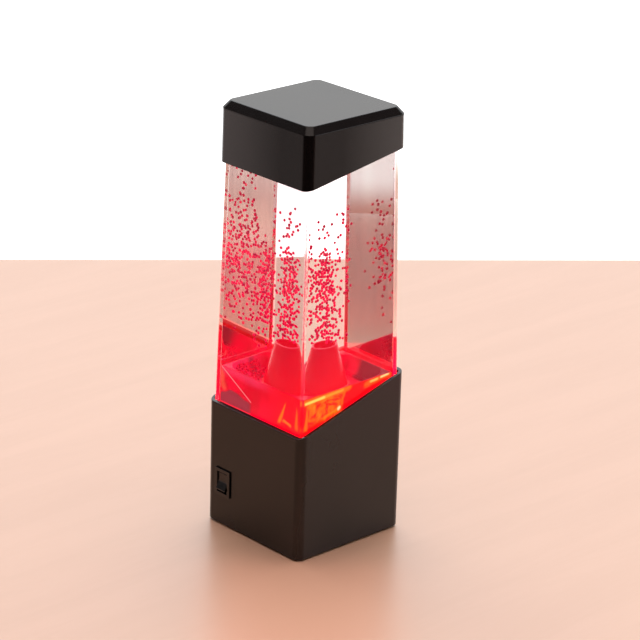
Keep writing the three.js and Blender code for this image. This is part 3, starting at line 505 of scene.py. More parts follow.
def red_deck():
    """Red translucent deck under water, its glow painted on. The lamps below it are painted as a mottled orange patch
    with a bright edge in the -Y skirt, as flames beside the front corner and as a bright edge at the right. Its sunk
    middle's painted glow is dull beyond the nozzle."""
    p = Paint("red_deck")
    x, y, z = p.mm()
    fine = p.noise(700, 2.0)
    cloud = p.noise(70, 3.0, 0.55, distortion=0.4)
    blot = p.noise(150, 4.0, 0.62, distortion=1.2)
    waves = p.noise(120, 2.0, 0.5)
    # the painted images of the lamps are wavy, because the skirt is moulded
    sway = p.math("MULTIPLY_ADD", waves, 5.0, -2.5)
    wx, wy, wz = p.math("ADD", x, sway), p.math("ADD", y, sway), p.math("MULTIPLY_ADD", sway, -0.55, z)
    reach = p.math("MAXIMUM", p.math("ABSOLUTE", x), p.math("ABSOLUTE", y))
    inner = p.times(p.span(reach, 29.1, 28.7), p.span(z, 75.0, 76.2))
    left = p.span(x, -29.35, -29.7)
    front = p.span(y, -29.35, -29.7)
    right = p.span(x, 29.35, 29.7)
    across = p.math("SUBTRACT", y, x)
    # the deck's own painted red glow, mottled
    colour = p.mix(p.span(cloud, 0.35, 0.65), (0.74, 0.0, 0.016), (0.92, 0.0, 0.028))

    # the sunk middle: painted pinker light at the left, painted glow dull beyond the nozzle, painted shade in a patch
    # behind it
    colour = p.mix(p.times(inner, p.span(across, 6.0, 34.0), 0.9), colour, (0.88, 0.012, 0.075))
    beyond = p.times(p.span(p.math("MULTIPLY_ADD", cloud, 3.0, x), 20.0, 24.5), p.span(y, 9.0, 1.0))
    colour = p.mix(p.times(inner, beyond, 0.94), colour, (0.24, 0.006, 0.018))
    colour = p.mix(p.times(inner, p.near(x, y, (-1.5, 18.5), (2.0, 26.0), 1.0, 5.0), 0.65), colour, (0.22, 0.006, 0.014))
    colour = p.mix(p.times(inner, p.span(z, 83.2, 83.9), p.span(across, 10.0, 30.0), 0.5), colour, (0.90, 0.05, 0.12))

    # the -X skirt: painted pinker light under its edge, a thin pale line painted across it, painted glow dull low down
    band = p.times(left, p.span(wz, 78.5, 83.0), p.span(wy, -18.0, 8.0))
    colour = p.mix(p.times(band, 0.65), colour, (0.90, 0.040, 0.120))
    colour = p.mix(p.times(left, p.span(wy, 4.0, -24.0), 0.85), colour, (1.0, 0.0, 0.012))
    colour = p.mix(p.times(left, p.near(wy, wz, (29.5, 80.5), (27.0, 73.5), 0.4, 3.6), 0.75), colour, (0.92, 0.090, 0.050))
    low = p.span(p.math("SUBTRACT", wz, p.math("MULTIPLY_ADD", y, 0.17, 69.2)), 0.8, -0.5)
    high = p.span(p.math("SUBTRACT", wz, p.math("MULTIPLY_ADD", y, -0.5, 83.9)), 0.8, -0.5)
    colour = p.mix(p.times(left, low, high, p.span(y, 5.0, 8.5), 0.92), colour, (0.27, 0.030, 0.050))
    colour = p.mix(p.times(left, p.near(y, z, (29.8, 84.0), (6.5, 71.2), 0.12, 0.42), 0.75), colour, (0.90, 0.28, 0.30))

    # the -Y skirt: the painted patch of lamp light, and painted bright lines along it
    patch = p.times(front, p.span(wx, -29.0, -25.5), p.span(wx, -2.0, -8.5), p.span(wz, 68.0, 73.0), p.span(z, 83.6, 81.8))
    colour = p.mix(p.times(front, 0.75), colour, (1.0, 0.003, 0.003))
    colour = p.mix(p.times(patch, p.span(blot, 0.34, 0.62)), colour, (1.0, 0.17, 0.003))
    colour = p.mix(p.times(patch, p.span(blot, 0.58, 0.76)), colour, (1.0, 0.40, 0.03))
    colour = p.mix(p.times(front, p.near(wx, z, (-3.2, 81.6), (-4.4, 76.0), 0.1, 1.6), 0.6), colour, (1.0, 0.17, 0.006))
    colour = p.mix(p.times(front, p.near(x, wz, (-29.0, 82.0), (0.5, 83.2), 0.3, 2.4), 0.9), colour, (1.0, 0.16, 0.006))
    colour = p.mix(p.times(front, p.near(x, z, (-17.0, 82.2), (-4.0, 82.9), 0.2, 1.2), 0.9), colour, (1.0, 0.34, 0.03))
    colour = p.mix(p.times(front, p.near(x, z, (-28.4, 81.6), (-16.5, 82.25), 0.25, 1.15)), colour, (1.0, 0.68, 0.12))
    colour = p.mix(p.times(front, p.near(x, z, (-6.7, 73.7), (-6.1, 74.2), 0.30, 1.35)), colour, (1.0, 0.78, 0.36))
    colour = p.mix(p.times(front, p.near(wx, wz, (-16.0, 71.0), (-9.0, 73.5), 0.1, 1.6), 0.7), colour, (1.0, 0.26, 0.01))
    colour = p.mix(p.times(front, p.near(x, wz, (12.0, 81.6), (27.5, 83.3), 0.3, 2.6), 0.9), colour, (1.0, 0.13, 0.008))
    colour = p.mix(p.times(front, p.near(x, z, (15.0, 82.6), (19.5, 82.9), 0.20, 1.0)), colour, (1.0, 0.52, 0.10))
    colour = p.mix(p.times(front, p.near(x, z, (22.0, 83.2), (27.0, 83.7), 0.15, 0.9)), colour, (1.0, 0.70, 0.26))

    # the painted flames of lamp light beside the front corner: narrow at the top, wide below
    open_up = p.span(z, 80.0, 69.0, 0.15, 1.0, smooth=False)
    tall = p.times(p.span(z, 80.5, 77.0), p.span(z, 66.5, 68.5))
    for face, at, skew, side, glow in ((left, y, -0.38, 11.0, 0.85), (left, y, 0.05, -31.0, 0.6), (front, x, 0.10, -35.4, 0.75)):
        off = p.math("ABSOLUTE", p.math("SUBTRACT", p.math("ADD", at, p.math("MULTIPLY", sway, 0.25)), p.math("MULTIPLY_ADD", z, skew, side)))
        off = p.math("DIVIDE", off, open_up)
        colour = p.mix(p.times(face, tall, p.span(off, 0.3, 1.8, 1.0, 0.0), glow), colour, (1.0, 0.20, 0.008))
    colour = p.mix(p.times(left, p.near(wy, wz, (-17.5, 69.0), (-23.5, 68.6), 0.1, 1.3), 0.6), colour, (1.0, 0.30, 0.02))
    # the +X skirt: a painted red glow, darker low down in its middle
    colour = p.mix(p.times(right, 0.6), colour, (0.85, 0.0, 0.02))
    colour = p.mix(p.times(right, p.span(z, 75.0, 78.0), p.span(p.math("ABSOLUTE", y), 22.0, 16.0), 0.85), colour, (0.30, 0.012, 0.030))
    return p.finish(
        p.shader(
            Base_Color=p.mix(p.span(cloud, 0.3, 0.7), (0.08, 0.001, 0.003), (0.12, 0.001, 0.005)),
            Roughness=p.span(fine, 0.2, 0.8, 0.16, 0.28),
            IOR=1.10,
            Emission_Color=colour,
            Emission_Strength=1.06,
            Normal=p.bump(fine, 0.00002, 0.3),
        )
    )


def bead_red():
    """Red resin beads, each its own tone, with the light from below painted on as a glow that dims as they rise."""
    p = Paint("bead_red")
    x, y, z = p.mm()
    tone = p.add("Attribute", attribute_name="tone").outputs["Fac"]
    fine = p.noise(2500, 1.0)
    colour = p.ramp(tone, (0.0, (0.34, 0.001, 0.022)), (0.5, (0.50, 0.002, 0.032)), (1.0, (0.68, 0.008, 0.045)))
    glow = p.ramp(tone, (0.0, (0.36, 0.0, 0.036)), (0.5, (0.56, 0.0, 0.046)), (1.0, (0.82, 0.002, 0.062)))
    low = p.span(z, 190.0, 120.0, 0.50, 0.95)
    # beads lying on the deck get a dimmer painted glow
    lying = p.span(z, 84.2, 84.0)
    glow = p.mix(p.times(lying, 0.85), glow, (0.46, 0.0, 0.016))
    return p.finish(
        p.shader(
            Base_Color=colour,
            Roughness=p.span(fine, 0.2, 0.8, 0.20, 0.34),
            IOR=1.12,
            Emission_Color=glow,
            Emission_Strength=low,
        )
    )


MAT = {
    "black_plastic": black_plastic(),
    "cap_plastic": cap_plastic(),
    "switch_plastic": switch_plastic(),
    "rubber": rubber_material(),
    "steel": metal("steel", (0.60, 0.60, 0.61), 0.34, (1, 1, 0.05)),
    "nickel": metal("nickel", (0.72, 0.70, 0.66), 0.26, (1, 0.1, 1)),
    "cell_jacket": cell_jacket(),
    "white_plastic": moulded("white_plastic", (0.66, 0.65, 0.61), (0.76, 0.75, 0.71), 0.42),
    "board_green": board_green(),
    "led_lens": led_lens(),
    "lead_red": lead_jacket("lead_red", (0.42, 0.010, 0.008), (0.55, 0.020, 0.014)),
    "lead_black": lead_jacket("lead_black", (0.010, 0.010, 0.011), (0.022, 0.022, 0.023)),
    "clear_acrylic": acrylic_outer(),
    "acrylic_wet": acrylic_wet(),
    "water_side": water_side(),
    "water": water_top(),
    "cone": red_cone(),
    "deck": red_deck(),
    "bead_red": bead_red(),
}


# ------------------------------------------------------------------ mesh tools
def outline(hx, hy, r, steps=10):
    """Rounded rectangle, counter-clockwise."""
    pts = []
    for cx, cy, a0 in ((hx - r, hy - r, 0), (-(hx - r), hy - r, 90), (-(hx - r), -(hy - r), 180), (hx - r, -(hy - r), 270)):
        for i in range(steps + 1):
            a = math.radians(a0 + 90 * i / steps)
            pts.append((cx + r * math.cos(a), cy + r * math.sin(a)))
    return pts


def square(half, r, z, steps=10):
    """A ring of points; z is a height or a height for each x."""
    return [(x, y, z(x) if callable(z) else z) for x, y in outline(half, half, r, steps)]


def round_like(pts, r, z, cx=0.0, cy=0.0):
    """A circle whose points lie at the same angles as pts, to join a square to it."""
    out = []
    for x, y, _ in pts:
        a = math.atan2(y - cy, x - cx)
        out.append((cx + r * math.cos(a), cy + r * math.sin(a), z))
    return out


def circle(r, z, sides=64, cx=0.0, cy=0.0):
    return [(cx + r * math.cos(2 * math.pi * i / sides), cy + r * math.sin(2 * math.pi * i / sides), z) for i in range(sides)]


class Build:
    """Collects faces in millimetres and makes one object of them."""

    def __init__(self):
        self.v, self.f, self.m, self.tone = [], [], [], []

    def skin(self, rings, mats=0, loop=False, start=False, end=False):
        n = len(rings[0])
        o = len(self.v)
        for r in rings:
            self.v += [tuple(p) for p in r]
        last = len(rings) if loop else len(rings) - 1
        for k in range(last):
            a, b = o + k * n, o + ((k + 1) % len(rings)) * n
            m = mats[k] if isinstance(mats, (list, tuple)) else mats
            for i in range(n):
                j = (i + 1) % n
                self.f.append((a + i, a + j, b + j, b + i))
                self.m.append(m)
        if start:
            self.f.append(tuple(o + i for i in reversed(range(n))))
            self.m.append(mats[0] if isinstance(mats, (list, tuple)) else mats)
        if end:
            e = o + (len(rings) - 1) * n
            self.f.append(tuple(e + i for i in range(n)))
            self.m.append(mats[-1] if isinstance(mats, (list, tuple)) else mats)
        return self

    def block(self, x0, x1, y0, y1, z0, z1, edge=0.3, mat=0):
        """A rounded block."""
        cx, cy, hx, hy = (x0 + x1) / 2, (y0 + y1) / 2, (x1 - x0) / 2, (y1 - y0) / 2
        rings = []
        for a in (0, 30, 60, 90):
            t = math.radians(a)
            rings.append((edge * (1 - math.sin(t)), z0 + edge * (1 - math.cos(t))))
        for a in (90, 60, 30, 0):
            t = math.radians(a)
            rings.append((edge * (1 - math.sin(t)), z1 - edge * (1 - math.cos(t))))
        full = []
        for inset, z in rings:
            r = max(edge - inset, 0.02) + 0.05
            full.append([(cx + px, cy + py, z) for px, py in outline(hx - inset, hy - inset, r, 3)])
        return self.skin(full, mat, start=True, end=True)

    def turned(self, profile, sides=64, mat=0, cx=0.0, cy=0.0, closed=False):
        """Solid of revolution about a vertical axis. Open profiles start and end at a small flat."""
        rings = [circle(max(r, 1e-3), z, sides, cx, cy) for r, z in profile]
        return self.skin(rings, mat, loop=closed, start=not closed, end=not closed)

    def object(self, name, materials, smooth=32.0):
        me = bpy.data.meshes.new(name)
        me.from_pydata([(x * MM, y * MM, (z + FEET) * MM) for x, y, z in self.v], [], self.f)
        for m in materials:
            me.materials.append(m)
        for poly, m in zip(me.polygons, self.m):
            poly.material_index = m
        o = bpy.data.objects.new(name, me)
        bpy.context.scene.collection.objects.link(o)
        tidy(o, smooth)
        return o


def tidy(o, smooth=32.0, weld=True):
    """Welds, turns the faces outward and smooths all but the sharp edges."""
    me = o.data
    bm = bmesh.new()
    bm.from_mesh(me)
    if weld:
        bmesh.ops.remove_doubles(bm, verts=bm.verts, dist=2e-6)
        bmesh.ops.dissolve_degenerate(bm, edges=bm.edges, dist=1e-6)
    bmesh.ops.recalc_face_normals(bm, faces=bm.faces)
    bm.to_mesh(me)
    bm.free()
    me.shade_smooth()
    me.set_sharp_from_angle(angle=math.radians(smooth))
    return o


def apply_modifiers(o):
    dg = bpy.context.evaluated_depsgraph_get()
    me = bpy.data.meshes.new_from_object(o.evaluated_get(dg), preserve_all_data_layers=True, depsgraph=dg)
    o.modifiers.clear()
    old = o.data
    o.data = me
    bpy.data.meshes.remove(old)
    return o


def combine(o, other, operation="DIFFERENCE", smooth=32.0):
    """Cuts other from o, or joins it to o, and removes other."""
    m = o.modifiers.new("cut", "BOOLEAN")
    m.operation = operation
    m.solver = "EXACT"
    m.object = other
    apply_modifiers(o)
    bpy.data.objects.remove(other, do_unlink=True)
    return tidy(o, smooth)


def from_node(name, node, material, bevel=0.25, segments=2, angle=35.0, extra=None):
    """A piece with the node's shape whose flat faces are whole and whose edges are rounded."""
    src = NODES[node]
    me = src.data.copy()
    me.materials.clear()
    me.materials.append(material)
    o = bpy.data.objects.new(name, me)
    bpy.context.scene.collection.objects.link(o)
    bm = bmesh.new()
    bm.from_mesh(me)
    bmesh.ops.remove_doubles(bm, verts=bm.verts, dist=2e-6)
    bmesh.ops.recalc_face_normals(bm, faces=bm.faces)
    bmesh.ops.dissolve_limit(bm, angle_limit=math.radians(1.5), verts=bm.verts, edges=bm.edges, delimit={"NORMAL"})
    for f in bm.faces:
        f.material_index = 0
    bm.to_mesh(me)
    bm.free()
    if bevel:
        m = o.modifiers.new("edges", "BEVEL")
        m.width = bevel * MM
        m.segments = segments
        m.limit_method = "ANGLE"
        m.angle_limit = math.radians(angle)
        m.use_clamp_overlap = True
        m.harden_normals = False
        apply_modifiers(o)
    return tidy(o, 34.0, weld=False)


def flatten(o):
    """Lets the large flat faces set the normals of the small roundings beside them, so that flat stays flat."""
    m = o.modifiers.new("normals", "WEIGHTED_NORMAL")
    m.mode = "FACE_AREA"
    m.weight = 50
    m.keep_sharp = True
    return apply_modifiers(o)


def settle(o, body, slot, *replaced):
    if not o.name.startswith("beads"):
        flatten(o)
    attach(o, body)
    if replaced:
        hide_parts(*replaced)
    return o


# ---------------------------------------------------------------- base housing
def fillet(half, r, z, edge, steps=4, upward=True):
    """Rings that round an outer edge inwards, from the wall to the end face."""
    rings = []
    for i in range(steps + 1):
        a = math.radians(90 * i / steps)
        inset = edge * (1 - math.cos(a))
        drop = edge * (1 - math.sin(a))
        s = -1 if upward else 1
        zz = (lambda x, d=drop: z(x) + s * d) if callable(z) else z + s * drop
        rings.append((half - inset, r - inset, zz))
    return rings


def make_base():
    inner, inner_r = BASE_HALF - BASE_WALL, BASE_IN_R
    spec = [*reversed(fillet(BASE_HALF, BASE_R, 0.0, 0.5, upward=False))]
    spec += fillet(BASE_HALF, BASE_R, rim, 0.32)
    spec += [(inner + 0.3, inner_r + 0.3, rim), (inner + 0.09, inner_r + 0.09, lambda x: rim(x) - 0.09), (inner, inner_r, lambda x: rim(x) - 0.35)]
    spec += [(inner, inner_r, SHELF_1)]
    rings = [square(h, r, z) for h, r, z in spec]
    rings.append(round_like(rings[-1], SHELF_R, SHELF_1))
    rings.append(round_like(rings[-1], SHELF_R, SHELF_0))
    rings.append(square(inner, inner_r, SHELF_0))
    rings.append(square(inner, inner_r, 0.3))
    rings.append(square(inner + 0.3, inner_r + 0.3, 0.0))
    o = Build().skin(rings, loop=True).object("base_shell", [MAT["black_plastic"]])
    hole = Build().block(-37.5, -31.4, SWITCH_Y - 4.6, SWITCH_Y + 4.6, SWITCH_Z - 6.4, SWITCH_Z + 6.4, 0.15).object("hole", [])
    combine(o, hole)
    hole = Build().turned([(4.3, -38.0), (4.3, -31.0)], 48).object("hole", [])
    hole.data.transform(Matrix.Translation((0, 0, -FEET * MM)))
    hole.data.transform(Matrix.Rotation(math.radians(90), 4, "X"))
    hole.data.transform(Matrix.Translation((0, 0, (INLET_Z + FEET) * MM)))
    combine(o, hole)
    # bosses for the cover's screws and posts for the motor bracket
    posts = Build()
    for sx in (-1, 1):
        for sy in (-1, 1):
            posts.turned([(1.6, 2.7), (3.2, 2.7), (3.2, 14.5), (1.6, 14.5)], 24, 0, sx * 28.0, sy * 19.0, closed=True)
        posts.turned([(1.4, 45.9), (3.0, 45.9), (3.0, 54.0), (1.4, 54.0)], 24, 0, sx * 28.2, 0.0, closed=True)
    p = posts.object("posts", [MAT["black_plastic"]])
    bm = bmesh.new()
    bm.from_mesh(o.data)
    bm.from_mesh(p.data)
    bm.to_mesh(o.data)
    bm.free()
    bpy.data.objects.remove(p, do_unlink=True)
    tidy(o, 32.0)
    settle(o, "root", "black_plastic", "base_housing")


make_base()


# ------------------------------------------------------------------------- cap
def cap_half(z):
    zc = CAP_TOP - CAP_DOWN
    return CAP_LOW_HALF + (CAP_HIGH_HALF - CAP_LOW_HALF) * (z - CAP_LOW) / (zc - CAP_LOW)


def arc(centre, radius, a0, a1, steps):
    return [
        (centre[0] + radius * math.cos(math.radians(a0 + (a1 - a0) * i / steps)), centre[1] + radius * math.sin(math.radians(a0 + (a1 - a0) * i / steps)))
        for i in range(steps + 1)
    ]


def make_cap():
    zc = CAP_TOP - CAP_DOWN
    hc = cap_half(zc)
    slope = math.degrees(math.atan2(CAP_DOWN, CAP_IN))  # of the chamfer, from level
    # from the middle of the roof's underside outwards and down, round the lower edge, up the outside
    inner = hc - CAP_IN - 1.2
    zi = CAP_TOP - CAP_ROOF
    spec = [(6.0, 1.5, zi), (inner, 2.2, zi)]
    spec += [(cap_half(zc - 1) - CAP_WALL, CAP_IN_R, zc - 1)]
    low = CAP_LOW_HALF - CAP_WALL
    spec += [(low, CAP_IN_R, lambda x: cap_edge(x) + 0.2), (low + 0.2, CAP_IN_R + 0.2, cap_edge)]
    for i in range(5):
        a = math.radians(90 * i / 4)
        e = 0.22
        spec.append((CAP_LOW_HALF - e + e * math.sin(a), CAP_R - e + e * math.sin(a), lambda x, d=e * (1 - math.cos(a)): cap_edge(x) + d))
    # the outer wall, then the chamfer between two small roundings
    e = 0.7
    t = e * math.tan(math.radians((90 - slope) / 2))
    cx, cz = hc - e, zc - t
    for x, z in arc((cx, cz), e, 0, 90 - slope, 4):
        spec.append((x, CAP_R - (hc - x), z))
    e2 = 0.7
    t2 = e2 * math.tan(math.radians(slope / 2))
    cx, cz = hc - CAP_IN - t2, CAP_TOP - e2
    for x, z in arc((cx, cz), e2, 90 - slope, 90, 4):
        k = (hc - x) / CAP_IN
        spec.append((x, max(CAP_R - 0.9 * k, 3.0), z))
    spec.append((hc - CAP_IN - 2.2, 2.4, CAP_TOP))
    spec.append((18.0, 2.0, CAP_TOP))
    spec.append((6.0, 1.5, CAP_TOP))
    rings = [square(h, r, z, 12) for h, r, z in spec]
    o = Build().skin(rings, start=True, end=True)
    for sx in (-1, 1):
        for sy in (-1, 1):
            x0, y0 = min(sx * 23.4, sx * 26.6), min(sy * 23.4, sy * 26.6)
            o.block(x0, x0 + 3.2, y0, y0 + 3.2, TANK_TOP + 0.3, zi + 0.4, 0.25)
    o = o.object("cap_shell", [MAT["cap_plastic"]], 25.0)
    settle(o, "cap", "black_plastic", "cap")


make_cap()


# ------------------------------------------------------------------------ tank
def make_tank():
    h0, h1 = tank_half(TANK_0), tank_half(TANK_TOP)
    outer = [(h0 - 0.3, TANK_R - 0.3, TANK_0), (h0 - 0.09, TANK_R - 0.09, TANK_0 + 0.09), (h0, TANK_R, TANK_0 + 0.3)]
    for i in range(5):
        a = math.radians(90 * i / 4)
        e = 0.8
        outer.append((h1 - e * (1 - math.cos(a)), TANK_R - e * (1 - math.cos(a)), TANK_TOP - e * (1 - math.sin(a))))
    rings = [square(h, r, z) for h, r, z in outer]
    mats = [0] * (len(rings) - 1)

    def disc(r, z):
        rings.append(round_like(rings[0], r, z))

    for r, z in ((NECK_R + 0.4, TANK_TOP), (NECK_R, TANK_TOP + 0.4), (NECK_R, NECK_TOP - 0.3), (NECK_R - 0.3, NECK_TOP), (NECK_BORE + 0.3, NECK_TOP), (NECK_BORE, NECK_TOP - 0.3), (NECK_BORE, TANK_TOP - TANK_WALL)):
        disc(r, z)
        mats.append(0)
    for z, wet in ((TANK_TOP - TANK_WALL, 0), (WATER_TOP, 0), (WATER_0, 1)):
        rings.append(square(tank_half(z) - TANK_WALL, TANK_IN_R, z))
        mats.append(wet)
    rings.append(square(h0 - TANK_WALL, TANK_IN_R, TANK_0 + 0.2))
    mats.append(0)
    rings.append(square(h0 - TANK_WALL + 0.2, TANK_IN_R + 0.2, TANK_0))
    mats += [0, 0]
    o = Build().skin(rings, mats, loop=True).object("tank_clear", [MAT["clear_acrylic"], MAT["acrylic_wet"]], 30.0)
    settle(o, "root", "clear_acrylic", "tank_shell")


def make_water():
    spec = [(tank_half(z) - TANK_WALL - 0.03, TANK_IN_R, z) for z in (WATER_0, WATER_TOP - 0.02)]
    b = Build().skin([square(h, r, z) for h, r, z in spec], [0], start=True, end=True)
    b.m[-1] = 1
    o = b.object("water_body", [MAT["water_side"], MAT["water"]])
    settle(o, "root", "water", "water")


make_tank()
make_water()


# --------------------------------------------------------------- deck and cone
def make_deck():
    def half(z):
        return tank_half(z) - TANK_WALL - 0.32

    spec = [(half(DECK_0), 1.0, DECK_0), (half(DECK_TOP - 0.5), 1.0, DECK_TOP - 0.5)]
    for i in range(1, 4):
        a = math.radians(90 * i / 3)
        spec.append((half(DECK_TOP) - 0.5 * (1 - math.cos(a)), 1.0, DECK_TOP - 0.5 * (1 - math.sin(a))))
    # down the dish's side to its floor
    for i in range(4):
        a = math.radians(90 * i / 3)
        spec.append((DISH_HALF + 0.5 * (1 - math.sin(a)) - 0.12, DISH_R + 0.4 * (1 - math.sin(a)), DECK_TOP - 0.4 * (1 - math.cos(a))))
    for t in (0.16, 0.08, 0.03, 0.0):
        k = t * 7.0
        spec.append((DISH_LOW_HALF + (DISH_HALF - DISH_LOW_HALF) * t - (0.16 - t) * 3.0, DISH_LOW_R - (0.16 - t) * 3.0, DISH + k))
    rings = [square(h, r, z, 14) for h, r, z in spec]
    rings.append(round_like(rings[0], DECK_HOLE, DISH))
    rings.append(round_like(rings[0], DECK_HOLE, PUMP_0))
    rings.append(round_like(rings[0], PUMP_OUT, PUMP_0))
    rings.append(round_like(rings[0], PUMP_OUT, DISH - DECK_T))
    under = half(DISH) - DECK_SKIRT
    rings.append(square(under, 0.6, DISH - DECK_T, 14))
    rings.append(square(half(DECK_0) - DECK_SKIRT, 0.6, DECK_0, 14))
    o = Build().skin(rings, loop=True).object("deck_plate", [MAT["deck"]])
    w, l = SLOT_W / 2, SLOT_L / 2
    cut = Build()
    for s in (-1, 1):
        cut.block(-l, l, s * SLOT_AT - w, s * SLOT_AT + w, DISH - 4, DISH + 1, 0.2)
        cut.block(s * SLOT_AT - w, s * SLOT_AT + w, -l, l, DISH - 4, DISH + 1, 0.2)
    combine(o, cut.object("slots", []))
    settle(o, "root", "red_clear_plastic", "bead_deck")


def make_cone():
    d = DISH
    profile = [(11.2, d - 3.2), (12.2, d - 3.2), (12.2, d + 0.3), (15.1, d + 0.3), (15.3, d + 0.5), (15.3, d + 1.0), (15.1, d + 1.2), (14.4, d + 1.3), (CONE_BOT_R, d + 1.6)]
    t, r, b = CONE_TOP, CONE_TOP_R, CONE_BORE_R
    profile += [(r, t - 0.5), (r - 0.08, t - 0.2), (r - 0.3, t), (b + 0.3, t), (b + 0.08, t - 0.15), (b, t - 0.45), (11.0, d + 2.3), (11.2, d + 1.8)]
    o = Build().turned(profile, 72, closed=True).object("nozzle", [MAT["cone"]], 30.0)
    settle(o, "root", "red_clear_plastic", "nozzle_cone")


make_deck()
make_cone()


# ----------------------------------------------------------------------- beads
def cone_radius(z):
    """Outer radius of the nozzle at a height."""
    foot = DISH + 1.4
    if z < foot:
        return 15.4
    return CONE_BOT_R + (CONE_TOP_R - CONE_BOT_R) * (z - foot) / (CONE_TOP - 0.3 - foot)


def bead(bm, layer, x, y, z, r, rng, tone):
    turn_to = Matrix.Rotation(rng.uniform(0, 6.28), 4, Vector((rng.uniform(-1, 1), rng.uniform(-1, 1), rng.uniform(-1, 1) + 1e-3)).normalized())
    squash = Matrix.Diagonal((rng.uniform(0.94, 1.06), rng.uniform(0.94, 1.06), rng.uniform(0.94, 1.06), 1))
    m = Matrix.Translation((x * MM, y * MM, (z + FEET) * MM)) @ turn_to @ squash @ Matrix.Scale(r * MM, 4)
    made = bmesh.ops.create_icosphere(bm, subdivisions=2, radius=1.0, matrix=m)
    for v in made["verts"]:
        v[layer] = tone


def bead_object(name, places, rng):
    me = bpy.data.meshes.new(name)
    bm = bmesh.new()
    layer = bm.verts.layers.float.new("tone")
    for x, y, z, r in places:
        bead(bm, layer, x, y, z, r, rng, rng.random())
    bm.to_mesh(me)
    bm.free()
    me.materials.append(MAT["bead_red"])
    me.shade_smooth()
    o = bpy.data.objects.new(name, me)
    bpy.context.scene.collection.objects.link(o)
    return o


def clear_of(placed, x, y, z, r):
    return all((x - a) ** 2 + (y - b) ** 2 + (z - c) ** 2 > (r + s + 0.06) ** 2 for a, b, c, s in placed)


def make_beads():
    rng = random.Random(4896)
    flying = []

    def fly(count, draw):
        made = tries = 0
        while made < count and tries < count * 60:
            tries += 1
            x, y, z = draw()
            r = rng.uniform(0.70, 0.86)
            wall = tank_half(z) - TANK_WALL - r - 0.4
            if max(abs(x), abs(y)) > wall or not 86.2 < z < 200:
                continue
            d = math.hypot(x, y)
            inside_bore = z < CONE_TOP + 1 and d < cone_radius(min(z, CONE_TOP - 0.3)) + r + 0.5
            if inside_bore or not clear_of(flying, x, y, z, r):
                continue
            flying.append((x, y, z, r))
            made += 1

    def at(w, s, z):
        """A place by how far it lies to the left of the axis as the front-left face shows it, and how far back."""
        return -0.534 * w + 0.845 * s, 0.845 * w + 0.534 * s, z

    def plume():
        u = rng.random() ** 1.2
        s = 5.0 - 3.1 * u
        lean = 2.6 * (1 - u)
        return rng.gauss(lean, s), rng.gauss(lean * 1.1, s), 101.8 + 46.0 * u

    def tail():
        return rng.gauss(-0.5, 2.2), rng.gauss(0.5, 2.2), rng.triangular(142, 178, 150)

    def swarm():
        return at(rng.gauss(14.0, 2.4), rng.uniform(-20, 22), rng.gauss(128.0, 12.0))

    def cloud():
        return at(rng.uniform(13, 34), rng.uniform(-24, 30), rng.triangular(96, 152, 134))

    def haze():
        return at(rng.uniform(20, 34), rng.uniform(-12, 26), rng.triangular(146, 168, 152))

    def high():
        return at(rng.uniform(22, 33), rng.uniform(-8, 24), rng.uniform(166, 186))

    def back_right():
        return rng.gauss(17.5, 3.4), rng.gauss(11.0, 4.6), rng.triangular(104, 170, 134)

    fly(250, plume)
    fly(10, tail)
    fly(135, swarm)
    fly(150, cloud)
    fly(52, haze)
    fly(16, high)
    fly(46, back_right)
    o = bead_object("beads_flying", flying, rng)
    settle(o, "root", "bead_red")

    lying = []
    tries = 0
    while len(lying) < 170 and tries < 20000:
        tries += 1
        x, y = rng.uniform(-23.8, 23.8), rng.uniform(-23.8, 23.8)
        if rng.random() > 0.15 + 0.85 / (1 + math.exp(-(y - x) / 6.0)) or x > 14:
            continue
        r = rng.uniform(0.60, 0.74)
        if math.hypot(x, y) < 15.9 + r or math.hypot(max(abs(x) - 14.6, 0), max(abs(y) - 14.6, 0)) > 9.6:
            continue
        z = DISH + 0.02 + r
        if clear_of(lying, x, y, z, r):
            lying.append((x, y, z, r))
    # some have come to rest against the dish's side
    tries = 0
    while len(lying) < 225 and tries < 20000:
        tries += 1
        x, z, r = rng.uniform(-17.0, 9.0), DISH + rng.triangular(0.9, 5.4, 1.2), rng.uniform(0.60, 0.74)
        y = DISH_LOW_HALF + (z - DISH) * (DISH_HALF - DISH_LOW_HALF) / (DECK_TOP - DISH) - r * 1.12
        if clear_of(lying, x, y, z, r):
            lying.append((x, y, z, r))
    o = bead_object("beads_settled", lying, rng)
    settle(o, "root", "bead_red", "bead_bed")


make_beads()


# ---------------------------------------------------------------------- switch
def make_switch():
    o = from_node("switch_frame", "switch_body", MAT["switch_plastic"], 0.22, 3)
    settle(o, "root", "switch_plastic", "switch_body")
    o = from_node("switch_paddle", "switch_rocker", MAT["switch_plastic"], 0.3, 3, 30.0)
    settle(o, "rocker", "switch_plastic", "switch_rocker")


make_switch()


# -------------------------------------------------- underside and other details
def make_underside():
    o = from_node("cover_plate", "bottom_cover", MAT["black_plastic"], 0.2, 2)
    settle(o, "root", "black_plastic", "bottom_cover")
    o = from_node("door_plate", "battery_door", MAT["black_plastic"], 0.2, 2)
    settle(o, "door", "black_plastic", "battery_door")
    o = from_node("inlet_socket", "dc_inlet", MAT["switch_plastic"], 0.15, 2)
    settle(o, "root", "switch_plastic", "dc_inlet")
    i = 1
    for sx, sy in ((-1, -1), (1, -1), (1, 1), (-1, 1)):
        b = Build().turned([(0.2, -0.8), (3.1, -0.8), (3.35, -0.73), (3.47, -0.6), (3.5, -0.4), (3.5, 0.7), (0.2, 0.7)], 40, 0, sx * 28.2, sy * 28.2)
        o = b.object(f"rubber_foot_{i}", [MAT["rubber"]])
        settle(o, "root", "rubber", f"foot_{i}")
        i += 1


make_underside()


